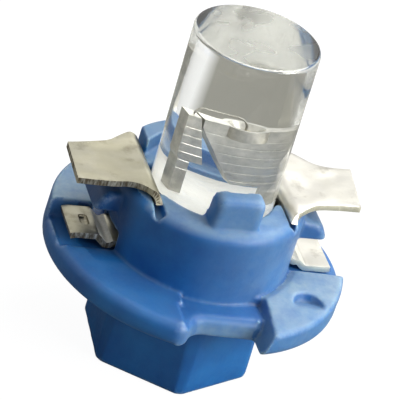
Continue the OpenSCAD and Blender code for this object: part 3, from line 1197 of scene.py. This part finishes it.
    def rib(self) -> Piece:
        """Sloped, well rounded rib on the barrel's side, over the right lower tab.

        Returns:
            The rib, reaching into the barrel's wall.
        """
        front, back = self.rib_ends
        rib = start_box("rib", (self.bore_radius + 0.5, front, self.rib_foot),
                        (self.rib_reach, back, self.rib_top))
        shift_edges(rib, self.rib_slope,
                    lambda mid, edge: mid.x > self.rib_reach - NEAR and mid.z > self.rib_top - 0.1)
        round_edges(rib, self.rib_round, 5, lambda mid, edge: mid.x > self.barrel_radius - 0.4)
        return rib

    def back_wall(self) -> Piece:
        """Raised wall behind the diode, between the two contacts.

        Returns:
            The wall, reaching into the barrel.
        """
        low, high = self.top - 1, self.top + 2
        wall = start_cylinder("back_wall", self.barrel_radius, self.top - 0.6,
                              self.top + self.wall_height)
        self.round_ring(wall, self.barrel_radius, self.top + self.wall_height, self.wall_round, 3)
        combine(wall, start_cylinder("inside", self.barrel_radius - self.wall, low, high),
                Join.CUT)
        reach = self.bore_radius - 0.06
        combine(wall, start_box("keep", (-reach, 1.2, low), (reach, 5, high)), Join.KEEP)
        return wall

    def block(self) -> Piece:
        """Rounded block in front of the diode, narrower at its top.

        Returns:
            The block, reaching into the barrel.
        """
        half, high = self.block_width / 2, self.top + self.block_height
        outer = -self.bore_radius - self.block_depth
        block = start_box("block", (-half, outer, self.top - 0.4), (half, -1.6, high))
        with editing(block, Pick.FACES, lambda mid, face: face.normal.z > FLAT):
            bpy.ops.transform.resize(value=(self.block_taper, 1, 1))
            bpy.ops.transform.translate(value=self.block_lean)
        round_edges(block, self.block_round, 6,
                    lambda mid, edge: mid.z > high - NEAR or mid.y < outer + 0.06)
        return block

    def openings(self, body: Piece) -> None:
        """Cut the seat, the cavity, the contact slots and the screwdriver slot.

        Args:
            body: the moulding.
        """
        over = self.top + 4
        for name, radius, low in (("seat", self.bore_radius, self.top - self.seat),
                                  ("cavity", self.cavity_radius, self.cavity_floor)):
            combine(body, start_cylinder(name, radius, low, over), Join.CUT)
        inner, over, foot = self.bore_radius, self.top + 1, self.deck + self.play
        outer = inner + self.strip + 2 * self.play
        fold, leg, window = self.fold_width / 2, self.leg_width / 2, self.window_half + self.play
        for name, low, high in (
                ("fold", (inner, -fold, self.top - self.fold_depth - self.play),
                 (outer, fold, over)),
                ("leg", (self.cavity_radius - 0.5, -leg, foot), (outer, leg, over)),
                ("window", (inner, -window, foot), (self.rib_reach + 1, window, self.window_top))):
            combine_twice(body, start_box(name, low, high), Join.CUT)
        long, wide = self.slot_length / 2, self.slot_width / 2
        slot = start_box("slot", (-long, -wide, -1), (long, wide, self.slot_depth))
        slot.data.transform(Matrix.Rotation(math.radians(self.head_turn + 30), 4, "Z"))
        combine(body, slot, Join.CUT)

    def flange(self) -> Piece:
        """Flange with its notches, lips and pads, sitting a little out of square.

        Returns:
            The whole flange.
        """
        flange = self.plate()
        combine(flange, self.pad(self.right_pad), Join.ADD)
        combine(flange, self.crescent(), Join.CUT)
        for tool, join in ((self.notch, Join.CUT), (self.rim_corner, Join.CUT),
                           (self.lip, Join.ADD), (self.bridge, Join.ADD),
                           (self.sharp_rim, Join.ADD)):
            combine_twice(flange, tool(), join)
        other = self.pad(self.left_pad)
        other.data.transform(HALF_TURN)
        combine(flange, other, Join.ADD)
        flange.data.transform(tilted(self.flange_tilt, (self.head_height + self.deck) / 2))
        return flange

    def painted_light_at(self, place: Vector, normal: Vector) -> float:
        """How much painted light the moulding has at a point: painted sheen and painted light
        above zero, painted shadow below.

        Painted sheen lies on top faces, most on the pads, and painted light lies thinly on the
        sides that face the lamp at the front right. Painted shadow darkens the ground round the
        left contact's leg.

        Args:
            place: the point, in millimetres.
            normal: the surface's direction there.

        Returns:
            A value from -1 to 1.
        """
        x, y, z = place
        reach, up = math.hypot(x, y), ramp(normal.z, 0.35, 0.85)
        outside = reach > self.barrel_radius + 0.1
        beside_tabs = abs(y) > self.leg_width / 2 and x * y < 0
        # painted sheen on top faces, strongest on the pads and on the tops of the ribs and the
        # barrel
        if z > self.upper_level:
            share = 0.6
        elif outside and beside_tabs and (abs(x) > 1.9 or reach > 5.05):
            share = 0.55 + 0.45 * ramp(z, self.deck - 0.1, self.deck + 0.2)
        else:
            share = 0.1
        # painted light on sides that face the front-right lamp, on the block's front, the front
        # lip and the notch's right wall
        lit = 0
        if z > self.head_height + 0.1:
            lit = max(0.75 * normal.x - 0.32 * normal.y, 0) * (1 - up)
        if z > self.top and y < 0:  # the block's front
            lit = max(lit, -normal.y)
        if reach < 5 and y < -4.3:  # the front lip
            lit = max(lit, (1 - abs(normal.z)) * 1.45)
        if outside and x > 0 and y < -2.5 and normal.x < -0.4:  # the notch's right wall
            lit = 0.9
        # painted shadow under the left wing, round the left contact's leg, but not on the pad
        on_pad = up > 0 and self.deck + 0.3 < z < self.deck + 1.1
        below_wing = x < -2.9 and 4.4 < z < self.top - 0.05 and reach < 4.95
        dark = 1 - ramp(abs(y), 1.1, 1.9) if below_wing and not on_pad else 0
        return max(up * share, 0.45 * lit) * (1 - dark) - dark

    def mark_painted_light(self, body: Piece) -> None:
        """Store the painted light and painted shadow at each corner of each face, as a corner
        attribute.

        Args:
            body: the finished moulding, in millimetres.
        """
        mesh = body.data
        values = np.array([self.painted_light_at(mesh.vertices[corner.vertex_index].co, facing.vector)
                           for corner, facing in zip(mesh.loops, mesh.corner_normals)],
                          np.float32)
        layer = mesh.attributes.new("painted_light", "FLOAT", "CORNER")
        layer.data.foreach_set("value", values)

    def build(self) -> Piece:
        """Model the moulding, with soft moulded edges.

        Returns:
            The finished piece.
        """
        body = self.barrel()
        combine(body, self.flange(), Join.ADD)
        combine(body, self.head(), Join.ADD)
        combine_twice(body, self.rib(), Join.ADD)
        combine(body, self.back_wall(), Join.ADD)
        combine(body, self.block(), Join.ADD)
        self.openings(body)
        finish_with(body, "REMESH", mode="VOXEL", voxel_size=self.voxel, use_smooth_shade=True)
        finish_with(body, "SMOOTH", factor=0.5, iterations=4)
        faces = len(body.data.polygons)
        if faces > self.most_faces:
            finish_with(body, "DECIMATE", ratio=self.most_faces / faces)
        mark_convexity(body, 5)
        self.mark_painted_light(body)
        to_metres(body)
        place_piece(body, self.material, ["base_moulding"])
        return body


Steps = tuple[Pair, ...]


@dataclass(frozen=True)
class Stamping:
    """What differs between the two contacts, each taken in the right one's place."""

    low_edge: Steps  # distance of the wing's edge at lower Y from its middle, along X
    high_edge: Steps  # the same for its edge at higher Y
    narrower: float  # how much less the folded edge reaches at higher Y
    rise: float  # height of the tab's outer end above its root
    tab_half: float  # half of the tab's width
    tip: Point  # a point on the wing's tip
    facing: Point  # direction that the tip faces


STAMPINGS: dict[Side, Stamping] = {
    Side.RIGHT: Stamping(
        low_edge=((2.6, 2.45), (2.87, 2.27), (3.39, 1.78), (3.76, 1.51), (4.18, 1.38),
                  (5.05, 1.31), (6.3, 1.37)),
        high_edge=((2.6, 2.48), (3.4, 2.46), (3.80, 2.27), (4.08, 2.03), (4.45, 1.65),
                   (5.0, 1.45), (5.64, 1.41), (6.3, 1.41)),
        narrower=0, rise=-0.20, tab_half=1.0, tip=(5.92, 0, 0), facing=(0.992, -0.126, 0)),
    Side.LEFT: Stamping(
        low_edge=((2.6, 2.5), (2.97, 2.68), (3.68, 2.15), (3.99, 1.88), (4.86, 1.66),
                  (5.8, 1.42), (6.3, 1.36)),
        high_edge=((2.6, 2.2), (3.13, 1.28), (3.68, 1.0), (4.31, 1.07), (5.92, 1.12),
                   (6.3, 1.12)),
        narrower=0.5, rise=0.40, tab_half=0.95, tip=(5.86, 0, 0), facing=(0.999, -0.04, 0)),
}


@dataclass
class Contact:
    """One stamped contact: wing, folded edge, leg, lower tab and solder lug.

    Lengths are in millimetres.
    """

    side: Side
    material: Material
    edge_material: Material
    painted_light_material: Material
    thickness: float = 0.25
    across: int = 14
    wing_start: float = 6.3
    wing_steps: int = 26
    camber: float = 0.05
    softening: float = 0.2
    root_half: float = 2.42
    fold_x: float = 2.59
    fold_foot: float = 7.5
    fold_round: float = 0.16
    fold_steps: int = 6
    fold_corners: Steps = ((0.2, 0.3), (0, 0.85))
    leg_half: float = 1.1
    leg_narrow: float = 0.95
    leg_bend: float = 0.25
    tab_foot: float = 4.93
    tab_bend_rise: float = 0.42
    tab_reach: float = 5.5
    barrel_radius: float = 3.8
    leg_levels: Pair = (6.6, 6.0)
    narrow_levels: Pair = (5.75, 5.55)
    mark_run: Pair = (3.45, 3.62)
    mark_width: Pair = (-0.75, 0.3)
    pit_run: Pair = (4.62, 5.0)
    pit_width: Pair = (-0.36, 0.34)
    pit_round: float = 0.12
    lug_half: float = 0.45
    lug_height: float = 5.2
    lug_reach: float = 1.52
    burr: float = 0.03
    wing_top: float = field(init=False)
    stamping: Stamping = field(init=False)

    def __post_init__(self) -> None:
        """Take the wing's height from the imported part, and the side's own shape."""
        self.wing_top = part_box("contact_right")[1].z / MM
        self.stamping = STAMPINGS[self.side]

    def ends_at(self, x: float) -> Pair:
        """Find the wing's two long edges at a place, softened over a short run.

        Args:
            x: the place along the wing.

        Returns:
            The edges' Y, the lower one first.
        """
        run = np.linspace(x - self.softening, x + self.softening, 5)
        low, high = (float(np.mean(np.interp(run, *zip(*edge))))
                     for edge in (self.stamping.low_edge, self.stamping.high_edge))
        return -low, high

    def wing_line(self) -> list[Station]:
        """Steps of the wing and its folded edge, from the tip over the fold.

        Returns:
            X, Z and the two long edges' Y at each step.
        """
        level = self.wing_top - self.thickness / 2
        bend = self.fold_round + self.thickness / 2
        x = self.fold_x + self.thickness / 2
        root, start = x + bend, self.wing_start
        line = []
        for i in range(self.wing_steps + 1):
            place = start + (root - start) * i / self.wing_steps
            sag = self.camber * math.sin(math.pi * (place - root) / (start - root))
            line.append((place, level - sag, *self.ends_at(place)))
        low, high = self.ends_at(root)
        front = self.root_half - self.stamping.narrower
        for i in range(1, self.fold_steps + 1):
            share = i / self.fold_steps
            turn = math.radians(90 * share)
            line.append((root - bend * math.sin(turn), level - bend * (1 - math.cos(turn)),
                         low + (-self.root_half - low) * share, high + (front - high) * share))
        for rise, cut in self.fold_corners:
            line.append((x, self.fold_foot + rise, cut - self.root_half, front - cut))
        return line

    def tab_line(self) -> list[Station]:
        """Steps of the leg and the lower tab, from inside the fold outwards.

        The tab dips beside the barrel and then rises or falls to its outer end.

        Returns:
            X, Z and the two long edges' Y at each step.
        """
        x = self.fold_x + self.thickness / 2
        z = self.tab_foot + self.thickness / 2
        shape, bend = self.stamping, self.leg_bend
        narrow = min(shape.tab_half, self.leg_narrow)
        line = [(x, level, self.leg_half) for level in (self.fold_foot + 0.08, *self.leg_levels)]
        line += [(x, level, narrow) for level in self.narrow_levels]
        for i in range(1, 5):
            turn = math.radians(22.5 * i)
            line.append((x + bend * (1 - math.cos(turn)),
                         z + self.tab_bend_rise - bend * math.sin(turn), narrow))
        for gap, high in ((-0.1, 0.14), (0.02, 0.06), (0.14, 0.03), (0.26, 0.06),
                          (0.5, shape.rise * 0.72), (0.62, shape.rise)):
            line.append((self.barrel_radius + gap, z + high, shape.tab_half))
        for far, share in ((4.6, 1), (4.8, 1), (5.2, 1), (self.tab_reach - 0.2, 0.97),
                           (self.tab_reach, 0.85)):
            line.append((far, z + shape.rise * share, shape.tab_half))
        return [(x, z, -half, half) for x, z, half in line]

    def mark(self) -> Piece:
        """Tool for the staking mark: a slanted block that bites into the wing's root.

        Returns:
            The tool.
        """
        top = self.wing_top
        (near, far), (front, back) = self.mark_run, self.mark_width
        mark = start_box("mark", (near, front, top - 0.1), (far, back, top + 0.3))
        shift_edges(mark, (0.2, 0, 0.1), lambda mid, edge: mid.z < top)
        shift_edges(mark, (0.12, 0.15, 0), lambda mid, edge: mid.y > back - NEAR)
        return mark

    def pit(self) -> Piece:
        """Tool for the shallow rounded pit in the left tab.

        Returns:
            The tool.
        """
        (near, far), (front, back) = self.pit_run, self.pit_width
        low, high = self.tab_foot + self.stamping.rise + 0.13, 7
        pit = start_box("pit", (near, front, low), (far, back, high))
        round_edges(pit, self.pit_round, 3, lambda mid, edge: mid.z < high - NEAR)
        return pit

    def lug(self) -> Piece:
        """Flat lug that reaches from the leg to the solder joint inside the base."""
        return start_box("lug", (self.lug_reach, -self.lug_half, self.lug_height),
                         (self.fold_x + 0.1, self.lug_half, self.lug_height + self.thickness))

    def dress_edges(self, strip: Piece) -> None:
        """Give the sheared edges their finish, and the tab's dip beside the barrel a bright, not
        metallic tin that is painted light.

        Args:
            strip: the finished strip, in millimetres and in the right contact's place.
        """
        strip.data.materials.clear()
        for material in (self.material, self.edge_material, self.painted_light_material):
            strip.data.materials.append(material)
        dip_start, dip_end = self.barrel_radius - 0.1, self.barrel_radius + 0.64
        for face in strip.data.polygons:
            middle_x, facing = face.center.x, face.normal
            sheared = abs(facing.y) > 0.72 or (
                abs(facing.x) > 0.8 and abs(middle_x) > self.tab_reach - 0.08)
            # the dip's bright tin is painted light
            dip = dip_start < middle_x < dip_end and face.center.z < 6 and facing.z > 0.3
            face.material_index = 1 if sheared else 2 if dip else 0

    def build(self) -> Piece:
        """Model the contact.

        Returns:
            The finished piece.
        """
        name = f"contact_{self.side.name.lower()}"
        wing = draw_strip(name + "_look", self.wing_line(), self.across, self.thickness)
        with editing(wing, Pick.FACES, everything):
            bpy.ops.mesh.bisect(plane_co=self.stamping.tip, plane_no=self.stamping.facing,
                                clear_outer=True, use_fill=True)
        combine(wing, self.mark(), Join.CUT)
        tab = draw_strip("tab", self.tab_line(), self.across, self.thickness)
        if self.side is Side.LEFT:
            combine(tab, self.pit(), Join.CUT)
        combine(wing, tab, Join.ADD)
        combine(wing, self.lug(), Join.ADD)
        soften(wing, self.burr)
        self.dress_edges(wing)
        mark_convexity(wing, 1)
        if self.side is Side.LEFT:
            wing.data.transform(HALF_TURN)
        smooth(wing, 40)
        to_metres(wing)
        place_piece(wing, self.material, [name])
        return wing


@dataclass
class Diode:
    """Clear body and lead frame of the diode. Lengths are in millimetres."""

    epoxy: Material
    milky: Material
    frost: Material
    metal: Material
    rim_round: float = 0.14
    sides: int = 256
    growth: float = 0.15
    lean: float = -0.6
    groove: float = 0.046
    pitch: float = 0.37
    groove_foot: float = 8.3
    plate_round: float = 0.018

    def lens(self) -> Piece:
        """Clear body: a cylinder with a softened rim, a frosted top greyed by painted shade and a
        cloudy foot.

        Returns:
            The finished piece.
        """
        low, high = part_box("led_lens")
        radius, foot, top = high.x / MM, low.z / MM, high.z / MM + self.growth
        lens = start_cylinder("led_lens_look", radius, foot, top, self.sides)
        rim: Test = lambda mid, edge: mid.z > top - NEAR and mid.xy.length > radius * 0.99
        round_edges(lens, self.rim_round, 4, rim)
        for material in (self.epoxy, self.milky, self.frost):
            lens.data.materials.append(material)
        for face in lens.data.polygons:
            face.material_index = 1 if face.normal.z < -FLAT else 2 if face.normal.z > 0.99 else 0
        lens.data.transform(tilted(self.lean, foot))
        smooth(lens)
        to_metres(lens)
        place_piece(lens, self.epoxy, ["led_lens"])
        return lens

    def grooves(self, plate: Piece, low: Vector, high: Vector, half: float) -> None:
        """Cut shallow rolling grooves across both faces of a plate.

        Args:
            plate: the plate.
            low: its lowest corner.
            high: its highest corner.
            half: half the plate's thickness.
        """
        height, past = high.z - 0.5, 0.2
        depth = self.groove * 0.7
        while height > max(low.z, self.groove_foot) + 0.2:
            for y in (-half - depth, half + depth):
                groove = start_cylinder("groove", self.groove, 0, high.x - low.x + 2 * past, 12)
                groove.data.transform(Matrix.Translation((low.x - past, y, height))
                                      @ Matrix.Rotation(math.pi / 2, 4, "Y"))
                combine(plate, groove, Join.CUT)
            height -= self.pitch

    def half(self, name: str) -> Piece:
        """One half of the lead frame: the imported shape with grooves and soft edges.

        Args:
            name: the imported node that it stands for.

        Returns:
            The finished piece.
        """
        plate = duplicate(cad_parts[name], name + "_look", Matrix.Scale(1 / MM, 4))
        plate.parent = None
        plate.data.materials.clear()
        with editing(plate, Pick.FACES, everything):
            bpy.ops.mesh.remove_doubles(threshold=0.001)
            bpy.ops.mesh.select_all(action="SELECT")
            bpy.ops.mesh.dissolve_limited(angle_limit=math.radians(1))
        low, high = (Vector(corner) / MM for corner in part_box(name))
        self.grooves(plate, low, high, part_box("led_post")[1].y / MM)
        soften(plate, self.plate_round)
        smooth(plate, 40)
        finish_with(plate, "WEIGHTED_NORMAL", weight=100, keep_sharp=True)
        to_metres(plate)
        place_piece(plate, self.metal, [name])
        return plate


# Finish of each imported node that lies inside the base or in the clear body.
INNER: tuple[tuple[FiredBody | PlainMetal, tuple[str, ...]], ...] = (
    (FiredBody("chip", (0.62, 0.50, 0.12), (0.35, 0.27, 0.06), 0.35, 0.08), ("led_die",)),
    (PlainMetal("fine_wire", (0.36, 0.35, 0.31), (0.28, 0.27, 0.24), 0.45, 0.1),
     ("bond_wire",)),
    (FiredBody("ceramic", (0.72, 0.69, 0.60), (0.55, 0.52, 0.45), 0.6), ("resistor_core",)),
    (FiredBody("resistor_lacquer", (0.52, 0.40, 0.22), (0.40, 0.29, 0.15), 0.4),
     ("resistor_coat",)),
    (PlainMetal("plated_cap", (0.75, 0.74, 0.72), (0.55, 0.54, 0.52), 0.35),
     ("resistor_cap_upper", "resistor_cap_lower", "resistor_lead_upper",
      "resistor_lead_lower")),
    (PlainMetal("solder", (0.62, 0.63, 0.64), (0.45, 0.46, 0.47), 0.4, 0.25),
     ("solder_left", "solder_right", "solder_resistor")),
)


def dress(name: str, material: Material) -> None:
    """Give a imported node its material.

    Args:
        name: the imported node.
        material: its finish.
    """
    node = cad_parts[name]
    if not node.material_slots:
        node.data.materials.append(material)
    for slot in node.material_slots:
        slot.material = material
    LOG.info("%s dressed", name)


# ---------------------------------------------------------------- studio


def direction(azimuth: float, elevation: float) -> Vector:
    """Direction away from the object.

    Args:
        azimuth: 0 for the front and 90 for the right, in degrees.
        elevation: above the horizon, in degrees.

    Returns:
        The unit vector.
    """
    a, e = math.radians(azimuth), math.radians(elevation)
    return Vector((math.sin(a) * math.cos(e), -math.cos(a) * math.cos(e), math.sin(e)))


def stand(name: str, data: bpy.types.Camera | bpy.types.Light, place: Vector, back: Vector,
          roll: float = 0) -> Piece:
    """Stand a camera or a lamp in the scene.

    Args:
        name: the object's name.
        data: the camera or the lamp.
        place: where it stands, in metres.
        back: direction that it faces away from.
        roll: turn about its own axis, in degrees.

    Returns:
        The object.
    """
    item = bpy.data.objects.new(name, data)
    item.location = place
    item.rotation_mode = "QUATERNION"
    item.rotation_quaternion = ((-back).to_track_quat("-Z", "Y")
                                @ Quaternion((0, 0, 1), math.radians(roll)))
    bpy.context.scene.collection.objects.link(item)
    return item


@dataclass(frozen=True)
class Lamp:
    """A square soft lamp that faces the object."""

    name: str
    azimuth: float  # direction that it stands in, in degrees
    elevation: float  # its height above the horizon, in degrees
    watts: float
    distance: float = 0.35  # from the object, in metres
    size: float = 0.20  # length of its side, in metres
    target: Point = (0, 0, 0.007)

    def build(self) -> None:
        """Add the lamp."""
        data = bpy.data.lights.new(self.name, "AREA")
        data.shape = "SQUARE"
        data.size = self.size
        data.energy = self.watts
        back = direction(self.azimuth, self.elevation)
        stand(self.name, data, Vector(self.target) + back * self.distance, back)


@dataclass(frozen=True)
class Studio:
    """Camera, floor, world and lamps. The camera's lengths are in millimetres."""

    azimuth: float = -22.92
    elevation: float = 30.46
    roll: float = 17.41
    distance: float = 110
    target: Point = (-0.384, -0.058, 7.005)
    focal_length: float = 252.45
    lamps: tuple[Lamp, ...] = (Lamp("key", 120, 55, 0.6), Lamp("side", 50, 27, 1.1))
    bright_side: Point = (0.55, 0.25, 0.8)
    light_span: Pair = (-0.6, 0.9)
    soft_light: Pair = (0.17, 0.62)
    mirror_light: Pair = (0.55, 1.05)
    inner_light: Pair = (1.2, 2.0)
    floor_side: float = 4  # metres
    floor_grey: Colour = (0.27, 0.265, 0.235)
    floor_white: Colour = (0.95, 0.95, 0.95)
    floor_glow: float = 1.06
    floor_share: float = 0.9

    def camera(self) -> None:
        """Long-lens camera that looks down on the lamp from its front left."""
        data = bpy.data.cameras.new("camera")
        data.lens = self.focal_length
        data.sensor_width = 36
        data.clip_start = 0.005
        data.clip_end = 10
        back = direction(self.azimuth, self.elevation)
        place = (Vector(self.target) + back * self.distance) * MM
        bpy.context.scene.camera = stand("camera", data, place, back, self.roll)

    def world(self) -> None:
        """Room light, brighter from the upper right, and white where the camera looks."""
        world = bpy.data.worlds.new("room")
        world.use_nodes = True
        bpy.context.scene.world = world
        tree = world.node_tree
        add, link = tree.nodes.new, tree.links.new
        background = tree.nodes["Background"]
        path = add("ShaderNodeLightPath")
        lit = add("ShaderNodeVectorMath")
        lit.operation = "DOT_PRODUCT"
        lit.inputs[1].default_value = Vector(self.bright_side).normalized()
        link(add("ShaderNodeTexCoord").outputs["Generated"], lit.inputs[0])
        levels = []
        for light in (self.soft_light, self.mirror_light, self.inner_light):
            node = add("ShaderNodeMapRange")
            for name, number in zip(("From Min", "From Max", "To Min", "To Max"),
                                    (*self.light_span, *light)):
                node.inputs[name].default_value = number
            link(lit.outputs["Value"], node.inputs["Value"])
            levels.append(node.outputs["Result"])
        level, mirrored, inner = levels
        for ray, value in (("Is Glossy Ray", mirrored), ("Is Transmission Ray", inner),
                           ("Is Camera Ray", None)):
            mix = add("ShaderNodeMix")
            link(path.outputs[ray], mix.inputs[0])
            link(level, mix.inputs[2])
            if value is None:
                mix.inputs[3].default_value = 1
            else:
                link(value, mix.inputs[3])
            level = mix.outputs[0]
        background.inputs["Color"].default_value = (1, 1, 1, 1)
        link(level, background.inputs["Strength"])

    def floor(self) -> None:
        """Plain floor: white to the camera but for the shadow, grey in reflections.

        Seen through the clear body it is white on its right and pale on its left.
        """
        clear_selection()
        bpy.ops.mesh.primitive_plane_add(size=self.floor_side)
        floor = settle("floor")
        recipe = Recipe("pale_floor")
        recipe.constants(Roughness=0.9, Specular_IOR_Level=0.1)
        path = recipe.add("ShaderNodeLightPath")
        seen = path.outputs["Is Camera Ray"]
        recipe.use(recipe.blend(seen, self.floor_grey, self.floor_white))
        x, y = recipe.along(0), recipe.along(1)
        right, left = (
            recipe.remap(recipe.combine(join, x, recipe.combine("MULTIPLY", y, slope)),
                         start, end, 0, level)
            for join, slope, start, end, level in (("SUBTRACT", 0.6, 5, 9.5, 1),
                                                   ("ADD", 0.35, -4, -12, 0.45)))
        through = recipe.combine("MULTIPLY", path.outputs["Is Transmission Ray"],
                                 recipe.combine("ADD", right, left))
        white = recipe.combine("MAXIMUM", recipe.combine("MULTIPLY", seen, self.floor_share),
                               through)
        glow = recipe.add("ShaderNodeEmission")
        glow.inputs["Strength"].default_value = self.floor_glow
        both = recipe.add("ShaderNodeMixShader")
        for socket, end in zip((white, recipe.shader.outputs[0], glow.outputs[0]), both.inputs):
            recipe.link(socket, end)
        recipe.link(both.outputs[0], recipe.tree.nodes["Material Output"].inputs["Surface"])
        floor.data.materials.append(recipe.material)

    def build(self) -> None:
        """Set up the whole studio."""
        bpy.context.scene.view_settings.view_transform = "Standard"
        self.camera()
        self.world()
        self.floor()
        for lamp in self.lamps:
            lamp.build()


def main() -> None:
    """Build the studio and every piece of the lamp, in order."""
    logging.basicConfig(level=logging.INFO, format="%(name)s %(message)s")
    Studio().build()
    BaseMoulding(MouldedPlastic().build()).build()
    # bright, not metallic tin for the tabs' dip: painted light
    painted_light_finish = FiredBody("painted_light_tin", (0.90, 0.88, 0.77), (0.74, 0.72, 0.60), 0.4)
    metals = [finish.build() for finish in (TinnedStrip(), ShearedEdge(), painted_light_finish)]
    for side in Side:
        Contact(side, *metals).build()
    diode = Diode(ClearEpoxy().build(), MilkyFoot().build(), FrostedTop().build(),
                  LeadFrame().build())
    diode.lens()
    diode.half("led_anvil")
    diode.half("led_post")
    for finish, names in INNER:
        material = finish.build()
        for name in names:
            dress(name, material)


if __name__ == "__main__":
    main()
